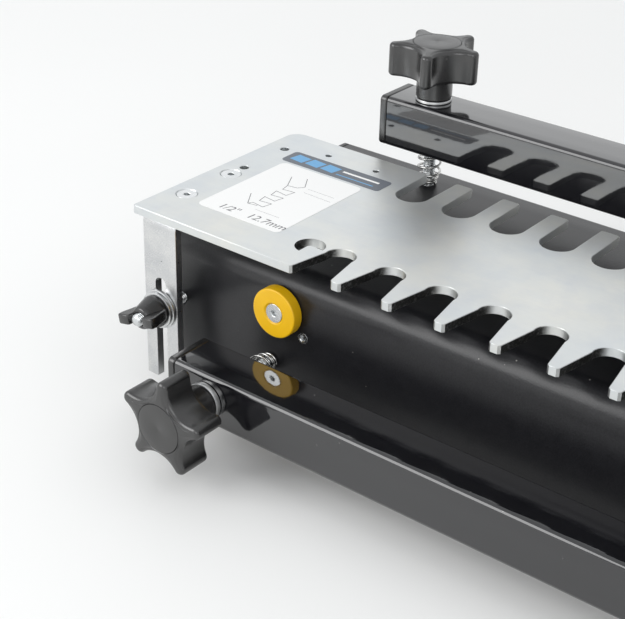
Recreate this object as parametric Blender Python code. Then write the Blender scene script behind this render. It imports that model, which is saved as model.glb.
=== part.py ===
"""Dovetail jig: a folded steel base, a finger template on two slotted brackets, and two screw-down clamp bars.

Metres, +Z up, +X along the jig, -Y towards the user. The base stands on Z = 0, and the origin is under the
middle of the whole jig's box.
"""

import math

import bmesh
import bpy
from mathutils import Matrix, Vector

MM = 0.001
SIDES = {"left": -1, "right": 1}
PLAY = 0.3 * MM  # gap left between pieces that touch

# Base: a folded sheet channel closed by an end plate at each end.
BASE_HALF_LENGTH = 240 * MM
BASE_FRONT = -36 * MM
BASE_BACK = 102.5 * MM
BASE_HEIGHT = 79.5 * MM
SHEET = 3 * MM
END_PLATE = 3 * MM
FRONT_ROLL = 11 * MM
REAR_ROLL = 4 * MM
FOOT_FOLD = 5 * MM
FOOT_WIDTH = 24 * MM
FOOT_HOLE_X = 150 * MM
FOOT_HOLE_INSET = 14 * MM
FOOT_HOLE_R = 3.3 * MM

# Template: pitch 25.4 mm, tapered slots along the front and straight slots along the back.
TEMPLATE_HALF_LENGTH = 241.5 * MM
TEMPLATE_FRONT = -56 * MM
TEMPLATE_BACK = TEMPLATE_FRONT + 116 * MM
TEMPLATE_TOP = 97 * MM
TEMPLATE_THICKNESS = 4 * MM
PITCH = 25.4 * MM
FRONT_SLOTS = 12
SLOT_END_R = 6.9 * MM
SLOT_END_Y = TEMPLATE_FRONT + 20.4 * MM
SLOT_TAPER = math.radians(10.2)
REAR_SLOT_R = 8.05 * MM
REAR_SLOT_Y = TEMPLATE_FRONT + 92 * MM
TIP_ROUND = 1.6 * MM
FRONT_CORNER = 1.5 * MM
REAR_CORNER = 7 * MM
HOOK_X = 155.4 * MM
HOOK_Y = TEMPLATE_FRONT + 19.9 * MM
HOOK_R = 6.8 * MM
HOOK_TONGUE_X = 156.1 * MM
PLAIN_HOLE_R = 2.2 * MM
SMALL_HOLE_R = 1.5 * MM

# Brackets: steel angles screwed under the template, forked over the depth studs.
BRACKET_X = 231.3 * MM
BRACKET_WIDTH = 20 * MM
BRACKET_FRONT = TEMPLATE_FRONT + 6 * MM
BRACKET_THICKNESS = 4 * MM
BRACKET_BEND = 6 * MM
BRACKET_BOTTOM = 7.5 * MM
BRACKET_BACK = TEMPLATE_FRONT + 78 * MM
BRACKET_SLOT = 6.6 * MM
BRACKET_SLOT_TOP = 61 * MM
SCREW_END = -8.2 * MM
BRACKET_SCREW_Y = (TEMPLATE_FRONT + 24.8 * MM, TEMPLATE_FRONT + 55.2 * MM)
PLAIN_HOLE_Y = (TEMPLATE_FRONT + 64.9 * MM, TEMPLATE_FRONT + 95.1 * MM)

# Depth studs and what rides on them.
DEPTH_Z = 45.4 * MM
STUD_R = 2.95 * MM
DEPTH_STUD_END = TEMPLATE_FRONT - 11.3 * MM
STOP_NUT_R = 10 * MM
STOP_NUT_LENGTH = 5 * MM
DEPTH_WASHER_R = 9.6 * MM
WASHER_PAIR = 3.2 * MM
WING_LENGTH = 10.4 * MM
WING_SPAN = 11 * MM
WING_REACH = 13.8 * MM
WING_TURN = math.radians(12)

# Clamps: two identical square tubes on four studs.
TUBE = 25 * MM
TUBE_WALL = 1.5 * MM
TUBE_ROUND = 2.5 * MM
BAR_HALF_LENGTH = 199.3 * MM
CAP_FLANGE = 4 * MM
CAP_PLUG = 12 * MM
CLAMP_X = 176.5 * MM
FRONT_BAR_Y = -67.5 * MM
FRONT_BAR_Z = 32 * MM
REAR_BAR_Y = 85 * MM
REAR_BAR_Z = 111 * MM
BAR_HOLE_R = 3.5 * MM
KNOB_LOBES = 5
KNOB_TIP_R = 3 * MM
KNOB_TIP_CENTRE = 19.5 * MM
KNOB_VALLEY_R = 13.8 * MM
KNOB_TURN = {"front": math.radians(14), "rear": math.radians(2.4)}
KNOB_WASHER_R = 8.75 * MM
KNOB_WASHER = {"front": 2.6 * MM, "rear": 1.3 * MM}
KNOB_HUB_R = 8.7 * MM
KNOB_HUB = 10.2 * MM
KNOB_HEAD = 16.8 * MM
KNOB_BORE = 22 * MM
KNOB_CAP_R = 11.4 * MM
KNOB_CAP = 1.4 * MM
STUD_IN_KNOB = 6 * MM
SPRING_R = 5.4 * MM
SPRING_NECK_R = 3.8 * MM
SPRING_WIRE_R = 0.6 * MM
SPRING_TIGHT_COILS = 2.5
SPRING_OPEN_COILS = 3
NUT_FLAT = 10 * MM
NUT_HEIGHT = 5 * MM

# Side stops on the front face.
STOP_X = 170.6 * MM
STOP_Z = 60.8 * MM
STOP_R = 11.8 * MM
STOP_THICKNESS = 5.7 * MM
SPARE_HOLE_X = 158.4 * MM
SPARE_HOLE_Z = 50.2 * MM

ALONG = {
    "X": Matrix(((0, 0, 1), (1, 0, 0), (0, 1, 0))),
    "Y": Matrix(((1, 0, 0), (0, 0, 1), (0, 1, 0))),
    "-Y": Matrix(((1, 0, 0), (0, 0, -1), (0, 1, 0))),
    "Z": Matrix(((1, 0, 0), (0, 1, 0), (0, 0, 1))),
    "-Z": Matrix(((1, 0, 0), (0, 1, 0), (0, 0, -1))),
}


def clear_scene():
    for obj in list(bpy.data.objects):
        bpy.data.objects.remove(obj)


def material(name, colour, metallic, roughness):
    made = bpy.data.materials.new(name)
    made.use_nodes = True
    shader = made.node_tree.nodes["Principled BSDF"]
    shader.inputs["Base Color"].default_value = (*colour, 1)
    shader.inputs["Metallic"].default_value = metallic
    shader.inputs["Roughness"].default_value = roughness
    return made


LOOKS = {
    "powder_coat": ((0.03, 0.03, 0.033), 0.0, 0.45),
    "gloss_paint": ((0.015, 0.015, 0.017), 0.0, 0.15),
    "template_metal": ((0.75, 0.76, 0.75), 1.0, 0.35),
    "zinc": ((0.7, 0.71, 0.72), 1.0, 0.3),
    "black_plastic": ((0.03, 0.03, 0.03), 0.0, 0.5),
    "yellow_paint": ((0.75, 0.42, 0.01), 0.0, 0.35),
}


def named(obj, look):
    """Gives the object its own material, made from one of the shared looks."""
    obj.data.materials.clear()
    obj.data.materials.append(material(obj.name, *LOOKS[look]))
    return obj


def place(name, mesh_builder, axis="Z", origin=(0, 0, 0)):
    """Writes a bmesh drawn along Z to a new object whose Z lies along the axis."""
    shape = bmesh.new()
    mesh_builder(shape)
    turn = ALONG[axis].to_4x4()
    shape.transform(Matrix.Translation(Vector(origin)) @ turn)
    shape.normal_update()
    bmesh.ops.recalc_face_normals(shape, faces=shape.faces)
    if shape.calc_volume(signed=True) < 0:
        bmesh.ops.reverse_faces(shape, faces=shape.faces)
    mesh = bpy.data.meshes.new(name)
    shape.to_mesh(mesh)
    shape.free()
    obj = bpy.data.objects.new(name, mesh)
    bpy.context.scene.collection.objects.link(obj)
    return obj


def add_prism(shape, outline, low, high):
    face = shape.faces.new([shape.verts.new((u, v, low)) for u, v in outline])
    made = bmesh.ops.extrude_face_region(shape, geom=[face])["geom"]
    moved = [item for item in made if isinstance(item, bmesh.types.BMVert)]
    bmesh.ops.translate(shape, verts=moved, vec=(0, 0, high - low))


def prism(name, outline, low, high, axis="Z", origin=(0, 0, 0)):
    return place(name, lambda shape: add_prism(shape, outline, low, high), axis, origin)


def circle(radius, count, centre=(0, 0), start=0.0):
    turns = [start + 2 * math.pi * i / count for i in range(count)]
    return [
        (centre[0] + radius * math.cos(a), centre[1] + radius * math.sin(a))
        for a in turns
    ]


def arc(centre, radius, first, last, count):
    """Points on an arc, both ends included, angles in degrees."""
    steps = [math.radians(first + (last - first) * i / count) for i in range(count + 1)]
    return [
        (centre[0] + radius * math.cos(a), centre[1] + radius * math.sin(a))
        for a in steps
    ]


def rounded_box(half_u, half_v, radius, count=3):
    points = []
    for quarter, (u, v) in enumerate(((1, 1), (-1, 1), (-1, -1), (1, -1))):
        centre = (u * (half_u - radius), v * (half_v - radius))
        points += arc(centre, radius, 90 * quarter, 90 * quarter + 90, count)
    return points


def lathe(name, profile, count, axis, origin):
    """Turns (radius, height) points about the axis. A profile that leaves the axis closed makes a ring."""
    ring = all(radius > 0 for radius, _ in profile)

    def build(shape):
        rows = []
        for radius, height in profile:
            if radius == 0:
                rows.append([shape.verts.new((0, 0, height))] * count)
                continue
            spots = circle(radius, count)
            rows.append([shape.verts.new((u, v, height)) for u, v in spots])
        pairs = list(zip(rows, rows[1:]))
        if ring:
            pairs.append((rows[-1], rows[0]))
        for lower, upper in pairs:
            for i in range(count):
                j = (i + 1) % count
                corners = (lower[i], lower[j], upper[j], upper[i])
                shape.faces.new(list(dict.fromkeys(corners)))

    return place(name, build, axis, origin)


def hide(obj):
    obj.hide_render = True
    obj.display_type = "WIRE"
    return obj


def cut(obj, cutter, operation="DIFFERENCE"):
    change = obj.modifiers.new(operation.title(), "BOOLEAN")
    change.operation = operation
    change.solver = "EXACT"
    change.object = hide(cutter)
    return obj


def bevel(obj, width, segments=1, angle=40):
    rounding = obj.modifiers.new("Bevel", "BEVEL")
    rounding.width = width
    rounding.segments = segments
    rounding.limit_method = "ANGLE"
    rounding.angle_limit = math.radians(angle)
    return obj


def drill(obj, holes, low, high, axis, count=12):
    """Cuts round holes, each (u, v, radius) in the plane across the axis."""

    def build(shape):
        for u, v, radius in holes:
            add_prism(shape, circle(radius, count, (u, v)), low, high)

    return cut(obj, place(obj.name + "_drill", build, axis))


def channel_side(inset):
    """The outer half of the base's section, from the front foot round to the rear foot, moved in by inset."""
    corners = (
        (BASE_FRONT, 1, 0, FOOT_FOLD, -90, -180),
        (BASE_FRONT, 1, BASE_HEIGHT, FRONT_ROLL, 180, 90),
        (BASE_BACK, -1, BASE_HEIGHT, REAR_ROLL, 90, 0),
        (BASE_BACK, -1, 0, FOOT_FOLD, 0, -90),
    )
    points = []
    for y, inward, z, radius, first, last in corners:
        upward = 1 if z == 0 else -1
        centre = (y + inward * radius, z + upward * radius)
        count = 8 if radius == FRONT_ROLL else 4
        points += arc(centre, radius - inset, first, last, count)
    return points


def build_base():
    front_foot = BASE_FRONT + FOOT_WIDTH
    rear_foot = BASE_BACK - FOOT_WIDTH
    outer = [(front_foot, 0.0), *channel_side(0), (rear_foot, 0.0)]
    inner = [(rear_foot, SHEET), *reversed(channel_side(SHEET)), (front_foot, SHEET)]
    half = BASE_HALF_LENGTH - END_PLATE - PLAY
    body = prism("base_body", outer + inner, -half, half, "X")
    front_holes = []
    deck_holes = []
    foot_holes = []
    for side in SIDES.values():
        front_holes.append((side * CLAMP_X, FRONT_BAR_Z, STUD_R + PLAY))
        front_holes.append((side * BRACKET_X, DEPTH_Z, STUD_R + PLAY))
        front_holes.append((side * STOP_X, STOP_Z, 2.3 * MM))
        front_holes.append((side * SPARE_HOLE_X, SPARE_HOLE_Z, 2.1 * MM))
        deck_holes.append((side * CLAMP_X, REAR_BAR_Y, STUD_R + PLAY))
        for y in (BASE_FRONT + FOOT_HOLE_INSET, BASE_BACK - FOOT_HOLE_INSET):
            foot_holes.append((side * FOOT_HOLE_X, y, FOOT_HOLE_R))
    reach = 2 * SHEET
    drill(body, front_holes, BASE_FRONT - reach, BASE_FRONT + reach, "Y")
    drill(body, deck_holes, BASE_HEIGHT - reach, BASE_HEIGHT + reach, "Z")
    drill(body, foot_holes, -reach, reach, "Z")
    named(body, "powder_coat")
    for name, side in SIDES.items():
        low, high = sorted(
            (side * (BASE_HALF_LENGTH - END_PLATE), side * BASE_HALF_LENGTH)
        )
        plate = prism("end_plate_" + name, channel_side(0), low, high, "X")
        named(bevel(plate, 0.4 * MM), "powder_coat")


def front_slot(centre):
    """One tapered slot, walked from its left mouth to its right mouth."""
    lean = math.degrees(SLOT_TAPER)
    points = arc((centre, SLOT_END_Y), SLOT_END_R, 180 + lean, -lean, 10)
    drop = points[-1][1] - TEMPLATE_FRONT
    mouth = points[-1][0] - centre + drop * math.tan(SLOT_TAPER)
    left = (centre - mouth, TEMPLATE_FRONT)
    return [left, *points, (centre + mouth, TEMPLATE_FRONT)]


def rear_slot(centre):
    """One straight slot, walked from its right mouth to its left mouth."""
    inner = TEMPLATE_BACK - TIP_ROUND
    right, left = centre + REAR_SLOT_R, centre - REAR_SLOT_R
    points = arc((right + TIP_ROUND, inner), TIP_ROUND, 90, 180, 2)
    points += arc((centre, REAR_SLOT_Y), REAR_SLOT_R, 0, -180, 10)
    points += arc((left - TIP_ROUND, inner), TIP_ROUND, 0, 90, 2)
    return points


def template_outline():
    half = TEMPLATE_HALF_LENGTH
    front = TEMPLATE_FRONT + FRONT_CORNER
    back = TEMPLATE_BACK - REAR_CORNER
    points = arc((-half + FRONT_CORNER, front), FRONT_CORNER, 180, 270, 3)
    for i in range(FRONT_SLOTS):
        points += front_slot((i - (FRONT_SLOTS - 1) / 2) * PITCH)
    points += arc((half - FRONT_CORNER, front), FRONT_CORNER, 270, 360, 3)
    points += arc((half - REAR_CORNER, back), REAR_CORNER, 0, 90, 6)
    for i in reversed(range(FRONT_SLOTS + 1)):
        points += rear_slot((i - FRONT_SLOTS / 2) * PITCH)
    points += arc((-half + REAR_CORNER, back), REAR_CORNER, 90, 180, 6)
    return points


def hook_outline(side):
    """A round hole with its quarter towards the middle and the front left as a tongue."""
    ends = arc((0, 0), HOOK_R, 0, 264, 22)
    tongue = (HOOK_X - HOOK_TONGUE_X, 0.1 * MM)
    points = [*ends, (tongue[0], tongue[1] - MM), (tongue[0] + MM, tongue[1])]
    return [(side * (HOOK_X - u), HOOK_Y + v) for u, v in points]


def countersink(x, y):
    profile = [
        (0, -6 * MM),
        (2.8 * MM, -6 * MM),
        (2.8 * MM, -2.6 * MM),
        (5.2 * MM, -0.2 * MM),
        (5.2 * MM, 2 * MM),
        (0, 2 * MM),
    ]
    return lathe("countersink", profile, 16, "Z", (x, y, TEMPLATE_TOP))


def build_template():
    low = TEMPLATE_TOP - TEMPLATE_THICKNESS
    plate = prism("template_plate", template_outline(), low, TEMPLATE_TOP)
    holes = []
    for side in SIDES.values():
        holes += [(side * BRACKET_X, y, PLAIN_HOLE_R) for y in PLAIN_HOLE_Y]
        for x in (209.9 * MM, 181.3 * MM):
            holes.append((side * x, TEMPLATE_FRONT + 102.7 * MM, SMALL_HOLE_R))
        hook = prism(
            plate.name + "_hook", hook_outline(side), low - MM, TEMPLATE_TOP + MM
        )
        cut(plate, hook)
        for y in BRACKET_SCREW_Y:
            cut(plate, countersink(side * BRACKET_X, y))
    drill(plate, holes, low - MM, TEMPLATE_TOP + MM, "Z", 12)
    named(plate, "template_metal")


def bracket_section():
    """The angle's side view: (y, z) round the outer bend, then back along the inner one."""
    top = TEMPLATE_TOP - TEMPLATE_THICKNESS - PLAY
    bend = (BRACKET_FRONT + BRACKET_BEND, top - BRACKET_BEND)
    inner = BRACKET_BEND - BRACKET_THICKNESS
    outside = [(BRACKET_FRONT, BRACKET_BOTTOM), *arc(bend, BRACKET_BEND, 180, 90, 6)]
    inside = arc(bend, inner, 90, 180, 4)
    return [
        *outside,
        (BRACKET_BACK, top),
        (BRACKET_BACK, top - BRACKET_THICKNESS),
        *inside,
        (BRACKET_FRONT + BRACKET_THICKNESS, BRACKET_BOTTOM),
    ]


def build_bracket(name, side):
    half = BRACKET_WIDTH / 2
    centre = side * BRACKET_X
    bracket = prism(
        "bracket_" + name, bracket_section(), centre - half, centre + half, "X"
    )
    r = BRACKET_SLOT / 2
    slot = arc((centre, BRACKET_SLOT_TOP - r), r, 0, 180, 10)
    slot += [(centre - r, BRACKET_BOTTOM - MM), (centre + r, BRACKET_BOTTOM - MM)]
    low, high = BRACKET_FRONT - MM, BRACKET_FRONT + BRACKET_THICKNESS + MM
    cut(bracket, prism("bracket_slot", slot, low, high, "Y"))
    screws = [(centre, y, 2.8 * MM) for y in BRACKET_SCREW_Y]
    drill(bracket, screws, TEMPLATE_TOP - 20 * MM, TEMPLATE_TOP, "Z", 16)
    named(bracket, "zinc")


def build_bracket_screw(name, x, y):
    top = -0.25 * MM
    profile = [
        (0, SCREW_END),
        (2.1 * MM, SCREW_END),
        (2.5 * MM, SCREW_END + 0.4 * MM),
        (2.5 * MM, -2.7 * MM),
        (4.7 * MM, -0.55 * MM),
        (4.7 * MM, top),
        (0, top),
    ]
    screw = lathe(name, profile, 12, "Z", (x, y, TEMPLATE_TOP))
    socket = prism(
        name + "_socket", circle(1.73 * MM, 6), -2.4 * MM, MM, "Z", (x, y, TEMPLATE_TOP)
    )
    named(cut(screw, socket), "zinc")


def stud(name, length, axis, origin):
    """A threaded stud, drawn as a plain rod with chamfered ends, from its inner end."""
    lead = 0.8 * MM
    profile = [
        (0, 0),
        (STUD_R - lead, 0),
        (STUD_R, lead),
        (STUD_R, length - lead),
        (STUD_R - lead, length),
        (0, length),
    ]
    return named(lathe(name, profile, 12, axis, origin), "zinc")


def hex_nut(name, axis, origin):
    outline = circle(NUT_FLAT / math.sqrt(3), 6, start=math.radians(30))
    nut = prism(name, outline, 0, NUT_HEIGHT, axis, origin)
    bore = prism(
        name + "_bore", circle(STUD_R + 0.2 * MM, 12), -MM, NUT_HEIGHT + MM, axis, origin
    )
    return named(cut(nut, bore), "zinc")


def ring(name, radius, bore, length, axis, origin, look, groove=True):
    """A plain ring, or a pair of washers with the line between them turned in."""
    lip = 0.25 * MM
    middle = length / 2
    profile = [(bore, 0), (radius - lip, 0), (radius, lip)]
    if groove:
        profile.append((radius, middle - lip))
        profile.append((radius - lip, middle))
        profile.append((radius, middle + lip))
    profile += [(radius, length - lip), (radius - lip, length), (bore, length)]
    return named(lathe(name, profile, 18, axis, origin), look)


def build_stop_nut(name, side):
    """A knurled disc that the bracket is pulled back against."""
    start = BRACKET_FRONT + BRACKET_THICKNESS + PLAY
    notches = 18
    outline = []
    for i in range(notches):
        step = 2 * math.pi / notches
        for part, radius in ((0, STOP_NUT_R), (0.5, STOP_NUT_R), (0.75, 0.93 * STOP_NUT_R)):
            turn = (i + part) * step
            outline.append((radius * math.cos(turn), radius * math.sin(turn)))
    origin = (side * BRACKET_X, start, DEPTH_Z)
    nut = prism("stop_nut_" + name, outline, 0, STOP_NUT_LENGTH, "Y", origin)
    bore = prism(
        "stop_bore", circle(STUD_R + 0.2 * MM, 12), -MM, STOP_NUT_LENGTH + MM, "Y", origin
    )
    named(cut(nut, bore), "black_plastic")


def build_wing_knob(name, side):
    start = BRACKET_FRONT - 2 * PLAY - WASHER_PAIR
    origin = (side * BRACKET_X, start, DEPTH_Z)
    profile = [
        (0, 0),
        (8.4 * MM, 0),
        (8.4 * MM, 1.5 * MM),
        (5.9 * MM, WING_LENGTH - MM),
        (5.1 * MM, WING_LENGTH),
        (0, WING_LENGTH),
    ]
    knob = lathe("wing_knob_" + name, profile, 16, "-Y", origin)
    right = [
        (8 * MM, 1.5 * MM),
        (WING_SPAN - 0.6 * MM, 9 * MM),
        (WING_SPAN, 11 * MM),
        (WING_SPAN, WING_REACH - 0.8 * MM),
        (WING_SPAN - 0.8 * MM, WING_REACH),
        (4.8 * MM, WING_REACH),
        (4 * MM, WING_REACH - MM),
        (4 * MM, 9.6 * MM),
    ]
    wings = right + [(-across, along) for across, along in reversed(right)]
    half = 2.6 * MM

    def build(shape):
        add_prism(shape, wings, -half, half)
        stand = Matrix(((1, 0, 0), (0, 0, 1), (0, 1, 0))).to_4x4()
        shape.transform(Matrix.Rotation(WING_TURN, 4, "Z") @ stand)

    blade = place("wing_blade", build, "-Y", origin)
    bevel(blade, 0.8 * MM)
    cut(knob, blade, "UNION")
    bore = prism(
        "wing_bore", circle(STUD_R + 0.2 * MM, 12), -MM, 20 * MM, "-Y", origin
    )
    named(cut(knob, bore), "black_plastic")


def build_depth_gear(name, side):
    """A stud bolted through the front wall, with what holds the bracket on it."""
    x = side * BRACKET_X
    wall = BASE_FRONT + SHEET
    inner = wall + NUT_HEIGHT + 2 * MM
    stud("depth_stud_" + name, inner - DEPTH_STUD_END, "-Y", (x, inner, DEPTH_Z))
    hex_nut("depth_lock_nut_" + name, "Y", (x, wall + PLAY, DEPTH_Z))
    build_stop_nut(name, side)
    washer = (x, BRACKET_FRONT - PLAY, DEPTH_Z)
    ring(
        "depth_washers_" + name,
        DEPTH_WASHER_R,
        STUD_R + PLAY,
        WASHER_PAIR,
        "-Y",
        washer,
        "zinc",
    )
    build_wing_knob(name, side)


def build_side_stop(name, side):
    face = BASE_FRONT - PLAY
    profile = [
        (2.4 * MM, 0),
        (STOP_R - 0.5 * MM, 0),
        (STOP_R, 0.5 * MM),
        (STOP_R, STOP_THICKNESS - 0.7 * MM),
        (STOP_R - 0.7 * MM, STOP_THICKNESS),
        (5.1 * MM, STOP_THICKNESS),
        (2.4 * MM, STOP_THICKNESS - 2.9 * MM),
    ]
    origin = (side * STOP_X, face, STOP_Z)
    named(lathe("side_stop_" + name, profile, 28, "-Y", origin), "yellow_paint")
    face_out = STOP_THICKNESS - 0.3 * MM
    screw = [
        (0, -7 * MM),
        (2 * MM, -7 * MM),
        (2 * MM, face_out - 2.8 * MM),
        (4.5 * MM, face_out - 0.3 * MM),
        (4.5 * MM, face_out),
        (0, face_out),
    ]
    made = lathe("side_stop_screw_" + name, screw, 14, "-Y", origin)
    socket = prism("stop_socket", circle(1.45 * MM, 6), 3.2 * MM, 7 * MM, "-Y", origin)
    named(cut(made, socket), "zinc")


def knob_outline(turn):
    """Round-ended lobes joined by hollow arcs that meet them tangentially."""
    half_pitch = math.pi / KNOB_LOBES
    step = KNOB_TIP_R - KNOB_VALLEY_R
    reach = KNOB_TIP_CENTRE * math.cos(half_pitch)
    hollow = (KNOB_TIP_CENTRE**2 - step**2) / (2 * (reach + step))
    hollow_r = hollow - KNOB_VALLEY_R
    rise = hollow * math.sin(half_pitch)
    run = hollow * math.cos(half_pitch) - KNOB_TIP_CENTRE
    meet = math.degrees(math.atan2(rise, run))
    middle = math.degrees(half_pitch) + 180
    points = []
    for lobe in range(KNOB_LOBES):
        angle = 2 * lobe * half_pitch + turn
        shape = arc((KNOB_TIP_CENTRE, 0), KNOB_TIP_R, -meet, meet, 5)
        centre = (KNOB_TIP_CENTRE + run, rise)
        last = 2 * middle - meet - 180
        shape += arc(centre, hollow_r, meet + 180, last, 5)[1:-1]
        turned = Matrix.Rotation(angle, 2)
        points += [tuple(turned @ Vector(point)) for point in shape]
    return points


def build_knob(name, turn, washer, axis, origin):
    """A star head on a round hub, over a washer this thick. Its height runs away from the bar."""
    ring(
        "knob_washers_" + name,
        KNOB_WASHER_R,
        STUD_R + PLAY,
        washer,
        axis,
        origin,
        "zinc",
        False,
    )
    start = washer + PLAY
    neck = start + KNOB_HUB
    top = neck + KNOB_HEAD
    head = prism("knob_" + name, knob_outline(turn), neck, top, axis, origin)
    bevel(head, 2 * MM, 1, 60)
    hub = prism("knob_hub", circle(KNOB_HUB_R, 20), start, neck + MM, axis, origin)
    cut(head, hub, "UNION")
    shaft = circle(STUD_R + 0.2 * MM, 12)
    cut(head, prism("knob_bore", shaft, start - MM, start + KNOB_BORE, axis, origin))
    seat = circle(KNOB_CAP_R + 0.2 * MM, 24)
    cut(head, prism("knob_recess", seat, top - KNOB_CAP, top + MM, axis, origin))
    named(head, "black_plastic")
    lip = 0.3 * MM
    low = top - KNOB_CAP + PLAY
    cap = [
        (0, low),
        (KNOB_CAP_R, low),
        (KNOB_CAP_R, top),
        (KNOB_CAP_R - lip, top + lip),
        (0, top + lip),
    ]
    named(lathe("knob_cap_" + name, cap, 24, axis, origin), "black_plastic")


def spring_points(length):
    """A helix that leaves the base as tight narrow coils and opens towards the bar."""
    steps = 10
    tight = SPRING_TIGHT_COILS
    coils = tight + SPRING_OPEN_COILS
    tight_height = tight * 2.25 * SPRING_WIRE_R
    open_pitch = (length - 2 * SPRING_WIRE_R - tight_height) / SPRING_OPEN_COILS
    points = []
    for i in range(int(coils * steps) + 1):
        turns = i / steps
        widening = min(1.0, max(0.0, (turns - 1.5) / 1.5))
        radius = SPRING_NECK_R + widening * (SPRING_R - SPRING_NECK_R)
        height = SPRING_WIRE_R + min(turns, tight) / tight * tight_height
        height += max(0.0, turns - tight) * open_pitch
        angle = 2 * math.pi * turns
        points.append((radius * math.cos(angle), radius * math.sin(angle), height))
    return points


def build_spring(name, length, axis, origin):
    curve = bpy.data.curves.new(name, "CURVE")
    curve.dimensions = "3D"
    curve.bevel_depth = SPRING_WIRE_R
    curve.bevel_resolution = 0
    curve.use_fill_caps = True
    points = spring_points(length)
    line = curve.splines.new("POLY")
    line.points.add(len(points) - 1)
    for target, spot in zip(line.points, points):
        target.co = (*(ALONG[axis] @ Vector(spot) + Vector(origin)), 1)
    obj = bpy.data.objects.new(name, curve)
    bpy.context.scene.collection.objects.link(obj)
    return named(obj, "zinc")


def build_tube(name, y, z, hole_axis):
    """A square tube with a stud hole near each end."""
    half = BAR_HALF_LENGTH - CAP_FLANGE - PLAY
    outer = rounded_box(TUBE / 2, TUBE / 2, TUBE_ROUND)
    inner_half = TUBE / 2 - TUBE_WALL
    inner = rounded_box(inner_half, inner_half, TUBE_ROUND - TUBE_WALL)
    tube = prism(name, outer, -half, half, "X", (0, y, z))
    core = prism(name + "_core", inner, -half - MM, half + MM, "X", (0, y, z))
    cut(tube, core)
    across = z if hole_axis == "Y" else y
    along = y if hole_axis == "Y" else z
    holes = [(side * CLAMP_X, across, BAR_HOLE_R) for side in SIDES.values()]
    drill(tube, holes, along - TUBE, along + TUBE, hole_axis)
    return named(tube, "gloss_paint")


def build_tube_cap(name, side, y, z):
    """A moulded end cap: a flange as wide as the tube and a plug inside it."""
    half = TUBE / 2
    inner = BAR_HALF_LENGTH - CAP_FLANGE
    low, high = sorted((side * inner, side * BAR_HALF_LENGTH))
    outline = rounded_box(half, half, TUBE_ROUND)
    cap = prism("bar_cap_" + name, outline, low, high, "X", (0, y, z))
    bevel(cap, 0.8 * MM)
    plug_half = half - TUBE_WALL - PLAY
    low, high = sorted((side * (inner - CAP_PLUG), side * (inner + MM)))
    plug = rounded_box(plug_half, plug_half, MM, 2)
    cut(cap, prism("cap_plug", plug, low, high, "X", (0, y, z)), "UNION")
    named(cap, "black_plastic")


def build_clamp(bar, y, z, face, nut_axis):
    """One bar with its caps, studs, springs and knobs. The studs leave the face of the base at that height."""
    hole_axis = "Y" if bar == "front" else "Z"
    axis = "-Y" if bar == "front" else "Z"
    build_tube(bar + "_bar", y, z, hole_axis)
    centre = -y if bar == "front" else z
    inner_end = face - SHEET - NUT_HEIGHT - 2 * MM
    bar_far = centre + TUBE / 2
    bar_near = centre - TUBE / 2
    for name, side in SIDES.items():
        label = bar + "_" + name
        build_tube_cap(label, side, y, z)
        x = side * CLAMP_X

        def at(height):
            return (x, -height, z) if bar == "front" else (x, y, height)

        washer = KNOB_WASHER[bar]
        length = bar_far + washer + 2 * PLAY + STUD_IN_KNOB - inner_end
        stud("clamp_stud_" + label, length, axis, at(inner_end))
        hex_nut("stud_nut_" + label, nut_axis, at(face - SHEET - PLAY))
        build_spring("spring_" + label, bar_near - face - 2 * PLAY, axis, at(face + PLAY))
        build_knob(label, KNOB_TURN[bar], washer, axis, at(bar_far + PLAY))


def main():
    clear_scene()
    build_base()
    build_template()
    for name, side in SIDES.items():
        build_bracket(name, side)
        for place_name, y in zip(("front", "rear"), BRACKET_SCREW_Y):
            build_bracket_screw(f"bracket_screw_{name}_{place_name}", side * BRACKET_X, y)
        build_depth_gear(name, side)
        build_side_stop(name, side)
    build_clamp("front", FRONT_BAR_Y, FRONT_BAR_Z, -BASE_FRONT, "Y")
    build_clamp("rear", REAR_BAR_Y, REAR_BAR_Z, BASE_HEIGHT, "-Z")


main()
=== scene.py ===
# %% [markdown]
# # A dovetail jig
#
# This jig guides a router while it cuts dovetails. A folded steel base carries one board lying flat and
# one standing upright. A steel template with a comb of fingers lies over both, and two square bars clamp
# the boards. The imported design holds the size, the mounts and the joints. This script gives each piece
# its fine surface. Every piece is worked out from the box of the design's node, so it sits exactly where
# the node is.

import math

import bmesh
import bpy
import numpy as np
from mathutils import Matrix, Vector


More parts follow.
